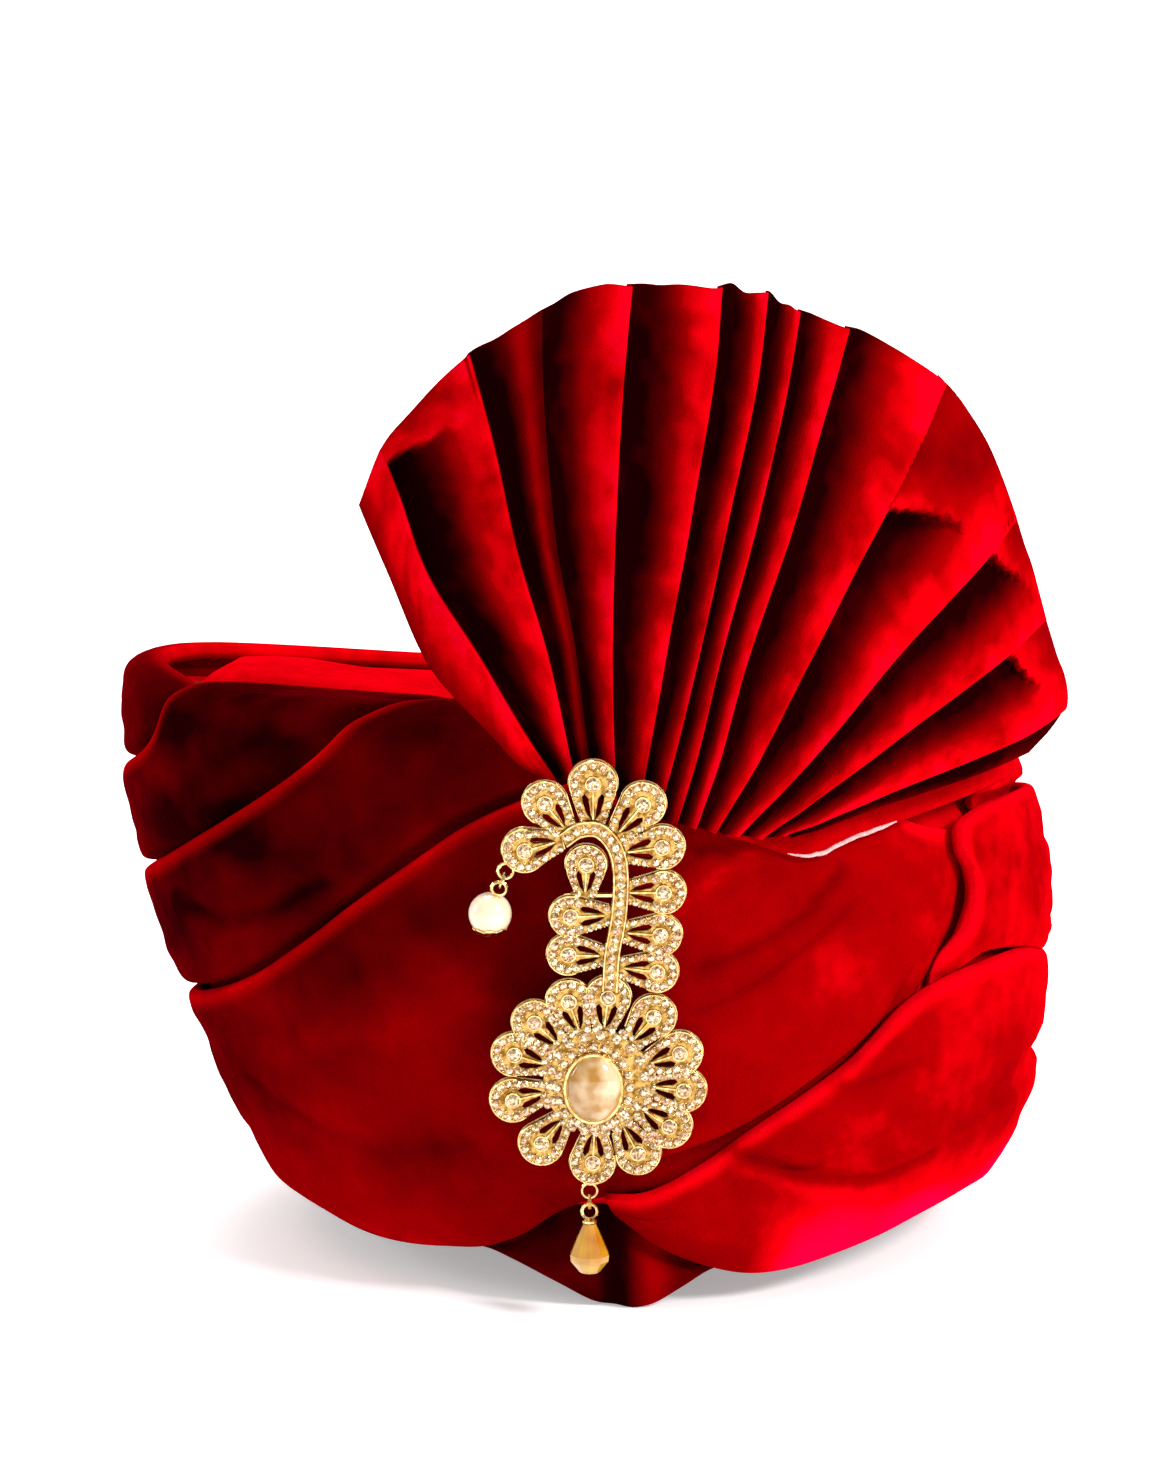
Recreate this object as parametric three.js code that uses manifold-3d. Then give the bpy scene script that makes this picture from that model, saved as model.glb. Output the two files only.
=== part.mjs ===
// Tied velvet pagri with a pleated fan and a sarpech brooch.
// Millimetres, +Z up, the front faces -Y, and it stands on its own rim at z = 0.
import * as THREE from 'three';
import { mergeVertices } from 'three/addons/utils/BufferGeometryUtils.js';
import Module from 'manifold-3d';

const wasm = await Module();
wasm.setup();

const DEGREE = Math.PI / 180;

// Driving dimensions
const AXIS_X = 12; // the head's axis, from the middle of the whole part
const AXIS_Y = 9;
const CROWN_OUT = -7.2; // offsets from the body surface, positive outwards
const CROWN_IN = -9.6;
const CLOTH_BACK = -6;
const TUCK_FACE = -4.3;
const LIP_BACK = -2.7;
const LIP_FACE = 3;
const FACE = 1.2;
const LIP_WIDTH = 8;
const TUCK_WIDTH = 8.6;
const COLUMN_STEP = 18; // along a wrap's edge, between its sections
const BAND_TOP = 27;
const BAND_FOOT_IN = 1.8; // the level foot turns in under the flared wall
const FAN_THICK = 3;
const FAN_RADIUS = 119.7; // the back of the fan above its foot
const FAN_FOOT_RADIUS = 115.1; // its foot lies against the front wrap's upper edge
const FAN_LEAN = 0.15;
const FAN_LEAN_FROM = 150;
const BROOCH_X = -10.8;
const BROOCH_Z = 64.7;
const BROOCH_Y = -120.8; // the plate's back at the flower's middle
const BROOCH_TILT = 5; // degrees, its top stands out over the foot of the fan
const PLATE_THICK = 2.2;
const PIN_BAR = { across: 1, up: 4, behind: 2.3, radius: 0.8, long: 24 };
const STONE_SIDES = 8;
const WIRE = 0.45; // radius of the ring wire
const RING = 2; // radius of a jump ring to the middle of its wire
const LINK_STEP = 2 * RING - 2 * WIRE - 0.3;
const PEARL_RADIUS = 5.6;
const PIN_RADIUS = 0.6;

const PIN_LOOP = PEARL_RADIUS + 0.4 + RING; // the loop's middle above the pearl's
const CABOCHON = { half: 7.3, high: 9.1, tall: 4.6 };
const CRYSTAL_LONG = 13.4;
const CRYSTAL_LOOP = RING + 1.3; // the cap's loop above the crystal's top
const CROWN_COLUMNS = 32;
const TOP_OUT = -9.5;
const TOP_FLUSH = -1;
const TOP_REAR = 174;
const TOP_FRONT = 197;
const TOP_HEIGHT = 139;
const FAN_CLEAR = 5.2; // the fan's lower right lies over its own tail
const TAIL_BACK = LIP_FACE + 0.5;

function table(names, rows) {
  const keys = names.split(' ');
  return rows.map((row) => Object.fromEntries(keys.map((key, i) => [key, row[i]])));
}

// The body surface: for each girth height, the reach to the left, front, right and back of the
// head's axis, and the height there
const BODY = table('girth left front right back leftZ frontZ rightZ backZ', [
  [0, 90, 110, 87, 104, 0, 0, 0, 0],
  [30, 106, 114, 107, 110, 30, 30, 30, 30],
  [60, 120.5, 116, 114, 113, 60, 60, 60, 60],
  [95, 133, 116, 115, 114, 95, 95, 94, 94],
  [125, 139.5, 114, 111, 113, 125, 126, 120, 120],
  [150, 140, 108, 101.5, 107, 148.5, 150, 134.5, 135],
  [157, 139, 102.8, 95.5, 101.5, 153.5, 154.5, 138, 138],
  [165, 133.5, 95, 88, 94.5, 156, 158, 140, 139.5],
  [190, 107.5, 70, 66, 70, 154, 155, 139.5, 138],
  [230, 50, 36, 32, 34, 148.5, 149, 138, 137.5],
]);

function curve(rows, across, key, at) {
  const last = rows.length - 1;
  let i = 0;
  while (i < last - 1 && at > rows[i + 1][across]) i += 1;
  const slope = (k) => {
    const before = rows[Math.max(0, k - 1)];
    const after = rows[Math.min(last, k + 1)];
    return (after[key] - before[key]) / (after[across] - before[across]);
  };
  const from = rows[i];
  const to = rows[i + 1];
  const span = to[across] - from[across];
  const s = (at - from[across]) / span;
  if (s < 0) return from[key] + (at - from[across]) * slope(i);
  if (s > 1) return to[key] + (at - to[across]) * slope(i + 1);
  const a = slope(i) * span;
  const b = slope(i + 1) * span;
  return (
    (2 * s ** 3 - 3 * s ** 2 + 1) * from[key] +
    (s ** 3 - 2 * s ** 2 + s) * a +
    (3 * s ** 2 - 2 * s ** 3) * to[key] +
    (s ** 3 - s ** 2) * b
  );
}

const mix = (from, to, share) => from + (to - from) * share;

const smoothStep = (from, to, at) => {
  const s = Math.min(1, Math.max(0, (at - from) / (to - from)));
  return s * s * (3 - 2 * s);
};

// A point of the body surface; the angle is 0 at the front and grows to the right
function bodyPoint(angle, girth) {
  const sine = Math.sin(angle * DEGREE);
  const cosine = Math.cos(angle * DEGREE);
  const side = sine < 0 ? 'left' : 'right';
  const end = cosine > 0 ? 'front' : 'back';
  return new THREE.Vector3(
    sine * curve(BODY, 'girth', side, girth),
    -cosine * curve(BODY, 'girth', end, girth),
    sine ** 2 * curve(BODY, 'girth', `${side}Z`, girth) +
      cosine ** 2 * curve(BODY, 'girth', `${end}Z`, girth),
  );
}

function offsetPoint(angle, girth, offset) {
  const round = bodyPoint(angle + 0.5, girth).sub(bodyPoint(angle - 0.5, girth));
  const up = bodyPoint(angle, girth + 0.5).sub(bodyPoint(angle, girth - 0.5));
  return bodyPoint(angle, girth).addScaledVector(round.cross(up).normalize(), offset);
}

// Closed meshes from rows of points
function geometryOf(points, faces) {
  const geometry = new THREE.BufferGeometry();
  const places = points.flatMap((p) => [p.x, p.y, p.z]);
  geometry.setAttribute('position', new THREE.Float32BufferAttribute(places, 3));
  geometry.setIndex(faces);
  return geometry;
}

function volume(points, faces) {
  let total = 0;
  for (let i = 0; i < faces.length; i += 3) {
    const [a, b, c] = [points[faces[i]], points[faces[i + 1]], points[faces[i + 2]]];
    total += a.dot(b.clone().cross(c));
  }
  return total;
}

function outwards(points, faces) {
  if (volume(points, faces) > 0) return faces;
  const turned = [];
  for (let i = 0; i < faces.length; i += 3) turned.push(faces[i], faces[i + 2], faces[i + 1]);
  return turned;
}

// The triangles of a strip's flat end: its points run down one side and back up the other
function stripFaces(downs, faceCount) {
  const faces = [];
  let front = 0;
  let rear = downs.length - 1;
  while (front < faceCount - 1 || rear > faceCount) {
    const along = front < faceCount - 1 && (rear === faceCount || downs[front + 1] <= downs[rear - 1]);
    faces.push(along ? [front, front + 1, rear] : [front, rear - 1, rear]);
    if (along) front += 1;
    else rear -= 1;
  }
  return faces;
}

// Rings of points joined into a tube, closed on itself or capped by the faces given for its ends
function skin(rings, startFaces, endFaces) {
  const size = rings[0].length;
  const points = rings.flat();
  const faces = [];
  const count = startFaces ? rings.length - 1 : rings.length;
  for (let i = 0; i < count; i += 1) {
    const next = (i + 1) % rings.length;
    for (let k = 0; k < size; k += 1) {
      const a = i * size + k;
      const b = i * size + ((k + 1) % size);
      const c = next * size + ((k + 1) % size);
      const d = next * size + k;
      faces.push(a, b, c, a, c, d);
    }
  }
  if (startFaces) {
    const offset = (rings.length - 1) * size;
    for (const [a, b, c] of startFaces) faces.push(a, c, b);
    for (const [a, b, c] of endFaces) faces.push(offset + a, offset + b, offset + c);
  }
  return geometryOf(points, outwards(points, faces));
}

// Wraps: each row is one section of the cloth, from its rolled fold edge down to the edge that
// is tucked under the next wrap. Lift 0 lets the cloth run flat under its neighbour, hem 1 turns
// the lower edge in as a free hem, and crease is the depth of a second fold along the wrap.
const WRAP_COLUMNS = 'edge edgeGirth tuck tuckGirth lift hem puff creaseAt crease';

const RIM_WRAP = table(WRAP_COLUMNS, [
  [2, 166, 2, 137, 0.2, 0, 0, 0.5, 0],
  [20, 168, 20, 138, 1, 0, 0, 0.5, 0],
  [38, 168, 38, 136, 1, 0, 0, 0.5, 0],
  [58, 168, 58, 147, 1, 0, 0, 0.5, 0],
  [68, 168, 68, 138.5, 1, 0, 0, 0.5, 0],
  [90, 168, 90, 137, 1, 0, 0, 0.5, 0],
  [130, 168, 130, 124, 1, 0, 0, 0.5, 0],
  [180, 168, 180, 114, 1, 0, 0.4, 0.5, 0],
  [230, 168, 230, 114, 1, 0, 0.4, 0.5, 0],
  [262, 169, 262, 116, 1, 0, 0.4, 0.5, 0],
  [278, 170, 278, 122, 1, 0, 0, 0.5, 0],
  [290, 172, 290, 131, 0.7, 0, 0, 0.5, 0],
  [300, 173, 300, 159, 0, 0, 0, 0.5, 0],
]);

const UPPER_WRAP = table(WRAP_COLUMNS, [
  [62, 144, 62, 127, 0.3, 0, 0, 0.5, 0],
  [66, 144, 66, 126, 1, 0, 0, 0.5, 0],
  [75, 144, 75, 125, 1, 0, 0, 0.5, 0],
  [90, 143, 90, 119, 1, 0, 0, 0.5, 0],
  [130, 132, 130, 104, 1, 0, 0, 0.5, 0],
  [180, 122, 180, 92, 1, 0, 0.3, 0.5, 0],
  [230, 122, 230, 87, 1, 0, 0.5, 0.5, 0],
  [268, 125, 268, 90, 1, 0, 0.6, 0.5, 0],
  [280, 132, 282, 95, 1, 0, 0.8, 0.5, 0],
  [292, 142, 302, 109, 1, 0, 0.8, 0.5, 0],
  [298, 160, 312, 121, 1, 0, 0.6, 0.5, 0],
  [306, 178, 320, 137, 1, 0, 0.4, 0.5, 0],
  [316, 186, 327, 148, 1, 0, 0.2, 0.5, 0],
  [330, 190, 336, 162, 1, 0, 0, 0.5, 0],
  [346, 192, 346, 178, 0.3, 0, 0, 0.5, 0],
]);

const MIDDLE_WRAP = table(WRAP_COLUMNS, [
  [45.5, 79.4, 48, 76.6, 0, 0, 0, 0.5, 0],
  [46, 84.6, 50, 77, 0, 0, 0, 0.5, 0],
  [47, 90, 51.5, 76.8, 0.36, 0, 0, 0.5, 0],
  [50, 97, 57, 79.3, 1, 0, 0, 0.5, 0],
  [52.5, 105, 64, 79.3, 1, 0, 0.4, 0.5, 0],
  [52.5, 113, 71, 77.6, 1, 0, 0.8, 0.5, 0],
  [51, 120, 78, 74.8, 1, 0, 1.2, 0.5, 0],
  [53, 128, 85, 71.3, 1, 0, 1.6, 0.5, 0],
  [64, 132, 90, 68.5, 1, 0, 1.6, 0.5, 0],
  [78, 131, 94, 66.5, 1, 0, 1.6, 0.5, 0],
  [92, 126, 98, 66, 1, 0, 1.6, 0.5, 0],
  [130, 112, 130, 62, 1, 0, 1.2, 0.5, 0],
  [180, 100, 180, 52, 1, 0, 1, 0.5, 0],
  [230, 95, 230, 50, 1, 0, 1, 0.5, 0],
  [268, 98, 268, 56, 1, 0, 1, 0.5, 0],
  [288, 107, 290, 63, 1, 0, 1.2, 0.5, 0],
  [302, 118, 306, 73, 1, 0, 1.4, 0.5, 0],
  [314, 131, 318, 86, 1, 0, 1.2, 0.5, 0],
  [323, 144.5, 327, 98, 1, 0, 1, 0.5, 0],
  [330, 160, 335, 111, 1, 0, 0.8, 0.5, 0],
  [337, 172, 342, 122, 1, 0, 0.6, 0.5, 0],
  [346, 184, 348, 129, 1, 0, 0.4, 0.5, 0],
  [358, 187, 358, 137, 0.3, 0, 0, 0.5, 0],
]);

const FRONT_WRAP = table(WRAP_COLUMNS, [
  [189, 61, 189, 2, 1, 1, 1.4, 0.5, 0],
  [230, 58, 230, 2, 1, 1, 1.6, 0.5, 0],
  [268, 64, 268, 7, 1, 1, 1.8, 0.5, 0],
  [290, 71, 292, 10, 1, 1, 2, 0.5, 0],
  [307, 82, 310, 10, 1, 1, 2.2, 0.5, 0],
  [318, 94, 320, 11, 1, 1, 2.2, 0.5, 0],
  [327, 107, 329, 13, 1, 1, 2, 0.5, 0],
  [335, 119, 336, 15, 1, 1, 1.8, 0.5, 0],
  [342, 130, 343, 20, 1, 1, 1.6, 0.5, 0],
  [349, 138, 349, 27, 1, 1, 1.2, 0.5, 0],
  [355, 143, 354.5, 31, 1, 0.9, 1, 0.5, 0],
  [359, 144, 359, 31.5, 1, 0, 1, 0.5, 0],
  [364, 145, 364, 33, 1, 0, 1, 0.6, 0.6],
  [374, 146, 374, 40, 1, 0, 1, 0.58, 1.4],
  [384, 145, 384, 51, 0.95, 0, 1.2, 0.5, 1.6],
  [394, 143, 394, 63, 0.75, 0, 1, 0.4, 0.8],
  [404, 130, 401, 76, 0.15, 0, 0.4, 0.5, 0],
  [416, 124, 411, 98, 0, 0, 0, 0.5, 0],
]);

const LOWER_WRAP = table(WRAP_COLUMNS, [
  [-4, 33, -2.5, 26, 0.8, 1, 0, 0.5, 0],
  [2, 34, 4, 17.5, 1, 1, 0.4, 0.5, 0],
  [9, 41, 12, 11.5, 1, 1, 1.2, 0.4, 0],
  [16, 50, 20, 8, 1, 1, 1.8, 0.3, 0.6],
  [23, 58, 28, 7.5, 1, 1, 2, 0.45, 1.6],
  [30.5, 67, 37, 9, 1, 1, 2, 0.58, 2],
  [38.5, 79, 46, 10.5, 1, 1, 2, 0.66, 2],
  [46, 84, 56, 12, 1, 1, 2, 0.66, 2],
  [56, 86, 66, 12, 1, 1, 2, 0.62, 2],
  [70, 84, 77, 9, 1, 1, 2, 0.55, 2],
  [90, 75, 92, 5, 1, 1, 1.8, 0.42, 1.8],
  [130, 70, 130, 2, 1, 1, 1.6, 0.5, 1.6],
  [160, 64, 160, 2, 1, 1, 1.4, 0.6, 1],
  [188.5, 61, 188.5, 2, 1, 1, 1.4, 0.7, 0],
]);

// One section's outline, as distances below the fold edge and offsets from the body surface
function wrapOutline(long, { lift, hem, puff, creaseAt, crease }, creased) {
  const lip = Math.min(LIP_WIDTH, 0.3 * long);
  const tuck = Math.min(TUCK_WIDTH, 0.36 * long);
  const free = long - tuck - 5;
  const middle = mix(lip, free, creaseAt);
  const full = FACE + puff;
  const face = [
    [0, -0.3],
    [0.9, 1.7],
    [0.4 * lip, LIP_FACE],
    [lip + 2, mix(LIP_FACE, full, 0.6)],
    [mix(lip + 2, middle, 0.55), full],
    ...(creased
      ? [
          [middle - 1.5, full - crease],
          [middle + 1.5, full + 0.3 * crease],
        ]
      : [[mix(middle, free, 0.4), full]]),
    [free, mix(0.3, full, mix(0.4, 1, hem))],
    [long - tuck, mix(TUCK_FACE, 0.8 * full, hem)],
    [long, mix(TUCK_FACE - 0.2, -2.4, hem)],
  ];
  const back = [
    [long - 0.4, CLOTH_BACK],
    [long - tuck, CLOTH_BACK],
    [mix(free, lip + 4, 0.33), CLOTH_BACK],
    [mix(free, lip + 4, 0.67), CLOTH_BACK],
    [lip + 4, CLOTH_BACK],
    [lip + 1.6, mix(CLOTH_BACK, LIP_BACK, lift > 0 ? 1 : 0)],
    [0.9, mix(CLOTH_BACK + 0.3, LIP_BACK + 0.4, lift > 0 ? 1 : 0)],
  ];
  const settled = (offset) => (offset > TUCK_FACE ? mix(TUCK_FACE, offset, lift) : offset);
  return [
    ...face.map(([down, offset]) => [down, settled(offset)]),
    ...back.map(([down, offset]) => [down, Math.min(offset, settled(offset + 2.2) - 1.8)]),
  ];
}

function wrapGeometry(rows) {
  const creased = rows.some((row) => row.crease > 0);
  const numbered = rows.map((row, at) => ({ ...row, at }));
  const places = [];
  for (let i = 0; i < rows.length - 1; i += 1) {
    const [from, to] = [rows[i], rows[i + 1]];
    const span = Math.max(
      bodyPoint(from.edge, from.edgeGirth).distanceTo(bodyPoint(to.edge, to.edgeGirth)),
      bodyPoint(from.tuck, from.tuckGirth).distanceTo(bodyPoint(to.tuck, to.tuckGirth)),
    );
    const steps = Math.max(1, Math.ceil(span / COLUMN_STEP));
    for (let k = 0; k < steps; k += 1) places.push(i + k / steps);
  }
  places.push(rows.length - 1);
  const sections = [];
  const rings = places.map((at) => {
    const row = Object.fromEntries(WRAP_COLUMNS.split(' ').map((key) => [key, curve(numbered, 'at', key, at)]));
    const place = (share) => [mix(row.edge, row.tuck, share), mix(row.edgeGirth, row.tuckGirth, share)];
    let long = 0;
    for (let k = 0; k < 6; k += 1) {
      long += bodyPoint(...place(k / 6)).distanceTo(bodyPoint(...place((k + 1) / 6)));
    }
    const outline = wrapOutline(long, { ...row, lift: Math.min(1, Math.max(0, row.lift)) }, creased);
    sections.push(outline.map(([down]) => down));
    return outline.map(([down, offset]) => offsetPoint(...place(down / long), offset));
  });
  const ends = [sections[0], sections[sections.length - 1]].map((downs) => stripFaces(downs, creased ? 10 : 9));
  return skin(rings, ends[0], ends[1]);
}

// Shells that are open below: rings up the outside, a point at the top, and rings down the inside
function shellGeometry(outside, inside, top, under) {
  const size = outside[0].length;
  const points = [...outside.flat(), ...inside.flat(), top, under];
  const topAt = points.length - 2;
  const underAt = points.length - 1;
  const faces = [];
  const around = (from, to) => {
    for (let k = 0; k < size; k += 1) {
      const next = (k + 1) % size;
      faces.push(from * size + k, from * size + next, to * size + next);
      faces.push(from * size + k, to * size + next, to * size + k);
    }
  };
  const rows = outside.length;
  for (let i = 0; i < rows - 1; i += 1) {
    around(i, i + 1);
    around(rows + i, rows + i + 1);
  }
  around(2 * rows - 1, 0);
  for (let k = 0; k < size; k += 1) {
    const next = (k + 1) % size;
    faces.push((rows - 1) * size + k, (rows - 1) * size + next, topAt);
    faces.push(rows * size + next, rows * size + k, underAt);
  }
  return geometryOf(points, outwards(points, faces));
}

// The crown sinks under the wraps near its shoulder, and its top fills the rear rim
function sink(angle, girth) {
  const under = mix(CROWN_OUT, TOP_OUT, smoothStep(116, 142, girth));
  const start = mix(TOP_FRONT, TOP_REAR, smoothStep(-0.7, -0.1, -Math.cos(angle * DEGREE)));
  return mix(under, TOP_FLUSH, smoothStep(start, start + 14, girth));
}

function crownGeometry() {
  const angles = Array.from({ length: CROWN_COLUMNS }, (_, i) => (360 * i) / CROWN_COLUMNS);
  const girths = [BAND_TOP + 0.4, 55, 85, 115, 138, 150, 158, 168, 178, 190, 212];
  const ring = (girth, deeper) => angles.map((angle) => offsetPoint(angle, girth, sink(angle, girth) - deeper));
  const thick = CROWN_OUT - CROWN_IN;
  return shellGeometry(
    girths.map((girth) => ring(girth, 0)),
    [...girths].reverse().map((girth) => ring(girth, thick)),
    new THREE.Vector3(0, 0, TOP_HEIGHT),
    new THREE.Vector3(0, 0, TOP_HEIGHT - thick),
  );
}

// The brow band under the wraps: it shows as a folded tab below the notch at the front
const BAND = table('angle low shown face', [
  [-180, 0, 1, 0],
  [-120, 0, 1, 0],
  [-90, 5, 6, 0],
  [-60, 9.5, 10, 0],
  [-40, 12, 13, 0],
  [-27, 13, 14, 0],
  [-21, 11, 14.5, 0.5],
  [-13, 6, 22, 1],
  [-7, 1.5, 27.5, 1],
  [-3, 0.2, 27, 0.5],
  [0, 0, 22, 1.2],
  [4, 1.2, 15.5, 1.2],
  [9, 5, 12, 0.8],
  [15, 9, 10, 0],
  [23, 10.5, 11.5, 0],
  [40, 11, 12, 0],
  [60, 12, 13, 0],
  [90, 4, 5, 0],
  [120, 0, 1, 0],
  [180, 0, 1, 0],
]);

function bandGeometry() {
  const angles = [];
  for (let angle = -180; angle < 180; angle += angle >= -30 && angle < 18 ? 3 : 10) angles.push(angle);
  const rings = angles.map((angle) => {
    const low = Math.max(0, curve(BAND, 'angle', 'low', angle));
    const shown = Math.max(low + 1, curve(BAND, 'angle', 'shown', angle));
    const face = Math.min(1.25, Math.max(0, curve(BAND, 'angle', 'face', angle)));
    const level = (girth, most) => {
      const point = offsetPoint(angle, girth, most);
      point.z = bodyPoint(angle, girth).z;
      return point;
    };
    return [
      level(low, mix(CROWN_OUT - BAND_FOOT_IN, -5.4, face)),
      offsetPoint(angle, mix(low, shown, 0.15), mix(CROWN_OUT, -3.2, face)),
      offsetPoint(angle, mix(low, shown, 0.6), mix(CROWN_OUT, -2.8, face)),
      offsetPoint(angle, shown, mix(CROWN_OUT, CROWN_OUT + 0.3, face)),
      offsetPoint(angle, BAND_TOP, CROWN_OUT),
      offsetPoint(angle, BAND_TOP, CROWN_IN),
      level(low, CROWN_IN - BAND_FOOT_IN),
    ];
  });
  return skin(rings);
}

// The fan: each row is one fold line from the gathered foot to the rim, in millimetres from the
// head's axis and the ground; rise is how far it stands out from the fan's back at the rim,
// and foot how far at the bottom.
const PLEATS = table('footX footZ midX midZ rimX rimZ rise foot', [
  [-22, 143.5, -48, 166, -72, 211, 0, 0],
  [-20, 144.5, -49, 190, -66, 227, 9, 3],
  [-17, 144, -38, 193, -56, 240, 1, 0],
  [-14.5, 142, -28, 196, -43, 253, 11, 3],
  [-12, 141, -23.5, 199, -33, 258.5, 1, 0],
  [-9.5, 140, -19, 201, -24, 264.5, 2, 1],
  [-7, 139, -13, 203, -14, 269, 1, 0],
  [-4.5, 138, -5.5, 203, -1, 272, 11, 3],
  [-2, 137, 3, 203, 9, 271.5, 1, 0],
  [1, 136, 11.5, 203, 22, 271, 11, 3],
  [3.5, 135, 17, 203, 28.5, 269, 2, 0],
  [6, 134.5, 22, 203, 34, 268.5, 10, 3],
  [8.5, 134, 26, 203, 38, 265.5, 2, 0],
  [11, 133.5, 30, 203, 42.5, 264.5, 10, 3],
  [13.5, 133, 33.5, 202, 47.5, 263, 2, 0],
  [16, 132.5, 37.5, 201, 55.5, 259.5, 11, 3],
  [18.5, 132, 44, 197, 64, 256, 1, 0],
  [21, 131.5, 52.5, 190, 81, 244, 13, 3],
  [24, 131, 60, 182, 92, 229, 1, 0],
  [27, 130.5, 66, 173, 102, 206, 13, 3],
  [30, 130, 69, 164, 107.5, 191, 1, 0],
  [33, 129.5, 70, 156, 112, 176, 12, 3],
  [36, 129.5, 72, 149, 116, 164, 1, 0],
  [39, 130, 72, 142, 118, 152.5, 9, 3],
  [41, 129, 70, 137, 106, 143, 1, 0],
]);
const NUMBERED_PLEATS = PLEATS.map((row, at) => ({ ...row, at }));
const FAN_ROWS = [0, 0.16, 0.4, 0.68, 0.92, 1];

function fanPoint(along, share, depth) {
  const keys = Object.keys(PLEATS[0]);
  const at = Object.fromEntries(keys.map((key) => [key, curve(NUMBERED_PLEATS, 'at', key, along)]));
  const bend = (foot, middle, rim) =>
    (1 - share) ** 2 * foot + 2 * share * (1 - share) * (2 * middle - 0.5 * (foot + rim)) + share ** 2 * rim;
  const x = bend(at.footX, at.midX, at.rimX);
  const z = bend(at.footZ, at.midZ, at.rimZ);
  const stand = mix(at.foot, at.rise, Math.min(1, share * 1.5)) * (1 - 0.35 * smoothStep(0.85, 1, share));
  const spread = mix(FAN_FOOT_RADIUS, FAN_RADIUS, smoothStep(0, 0.16, share));
  const radius = spread + FAN_CLEAR * smoothStep(2, 26, x) * smoothStep(175, 150, z);
  const reach = Math.sqrt(Math.max(30, radius ** 2 - x ** 2));
  const lean = FAN_LEAN * Math.max(0, z - FAN_LEAN_FROM);
  return new THREE.Vector3(x, -reach + lean - Math.max(0, stand) - depth, z);
}

function fanGeometry() {
  const places = [];
  for (let i = 0; i < PLEATS.length - 1; i += 1) places.push(i, i + 0.5);
  places.push(PLEATS.length - 1);
  const front = places.map((along) => FAN_ROWS.map((share) => fanPoint(along, share, FAN_THICK)));
  const back = places.map((along) => FAN_ROWS.map((share) => fanPoint(along, share, 0)));
  const rings = places.map((_, i) => [...front[i], ...[...back[i]].reverse()]);
  const shares = [...FAN_ROWS, ...[...FAN_ROWS].reverse()];
  const ends = stripFaces(shares, FAN_ROWS.length);
  return skin(rings, ends, ends);
}

// The fan's lowest fold lies along the front wraps to the right
const TAIL = table('angle low high', [
  [12, 127.5, 130],
  [16, 125.5, 131.5],
  [22.5, 121.5, 134],
  [30, 125.5, 139],
  [39.5, 130, 142],
  [51, 134, 146],
  [62, 137, 148],
  [71, 138, 148],
]);

function tailGeometry() {
  const shares = [0, 0.12, 0.45, 0.8, 1];
  const swell = [0.3, 1.9, 2.3, 1.6, 0.9];
  const rings = [];
  for (let angle = TAIL[0].angle; angle <= TAIL[TAIL.length - 1].angle; angle += 5) {
    const low = curve(TAIL, 'angle', 'low', angle);
    const high = curve(TAIL, 'angle', 'high', angle);
    const point = (share, offset) => offsetPoint(angle, mix(low, high, share), offset);
    rings.push([
      ...shares.map((share, i) => point(share, TAIL_BACK + 1 + swell[i])),
      ...[...shares].reverse().map((share) => point(share, TAIL_BACK)),
    ]);
  }
  const ends = stripFaces([...shares, ...[...shares].reverse()], shares.length);
  return skin(rings, ends, ends);
}

// Booleans
function solidOf(geometry, matrix) {
  const copy = new THREE.BufferGeometry();
  copy.setAttribute('position', geometry.attributes.position.clone());
  if (geometry.index) copy.setIndex(geometry.index.clone());
  if (matrix) copy.applyMatrix4(matrix);
  const merged = mergeVertices(copy, 1e-4);
  return new wasm.Manifold(
    new wasm.Mesh({
      numProp: 3,
      vertProperties: new Float32Array(merged.attributes.position.array),
      triVerts: new Uint32Array(merged.index.array),
    }),
  );
}

function geometryFrom(solid) {
  const mesh = solid.getMesh();
  const geometry = new THREE.BufferGeometry();
  geometry.setAttribute('position', new THREE.BufferAttribute(mesh.vertProperties, 3));
  geometry.setIndex(new THREE.BufferAttribute(mesh.triVerts, 1));
  return geometry;
}

const joined = (solids) => solids.reduce((whole, next) => whole.add(next));

function slab(outline, holes, from, to) {
  const shape = new THREE.Shape(outline);
  shape.holes = holes.map((hole) => new THREE.Path(hole));
  const geometry = new THREE.ExtrudeGeometry(shape, { depth: to - from, bevelEnabled: false });
  geometry.translate(0, 0, from);
  return geometry;
}

// The brooch is drawn flat: across and up from the flower's middle, its depth towards the viewer
const PETAL_COLUMNS = 'across up turn width long';
const FLOWER_TURNS = [7, 40, 71, 97, 124, 152, 183, 220, 256, 288, 314, 341];
const FLOWER = { across: 1.4, up: 1.6 };
const FLOWER_FOOT = 12.5;
const PETAL_WIDTH = 12;
const PETAL_LONG = 16.2;
const SIDE_PETALS = table(PETAL_COLUMNS, [
  [-6, 68.5, -38, 11, 16],
  [0.3, 69.5, 0, 12, 18.5],
  [5.5, 67, 40, 11, 18],
  [6.8, 63, 82, 10.8, 17.5],
  [7.5, 52.5, 90, 10.8, 17],
  [7, 41.8, 94, 10.6, 16.6],
  [6.4, 32.4, 97, 10.6, 16.4],
  [5.4, 46.4, -92, 10.4, 16.8],
  [4, 35.4, -88, 10.4, 16],
  [-1.8, 50.8, 2, 9.6, 14.4],
  [-7.5, 66.5, -106, 10.6, 16],
]);
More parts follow.
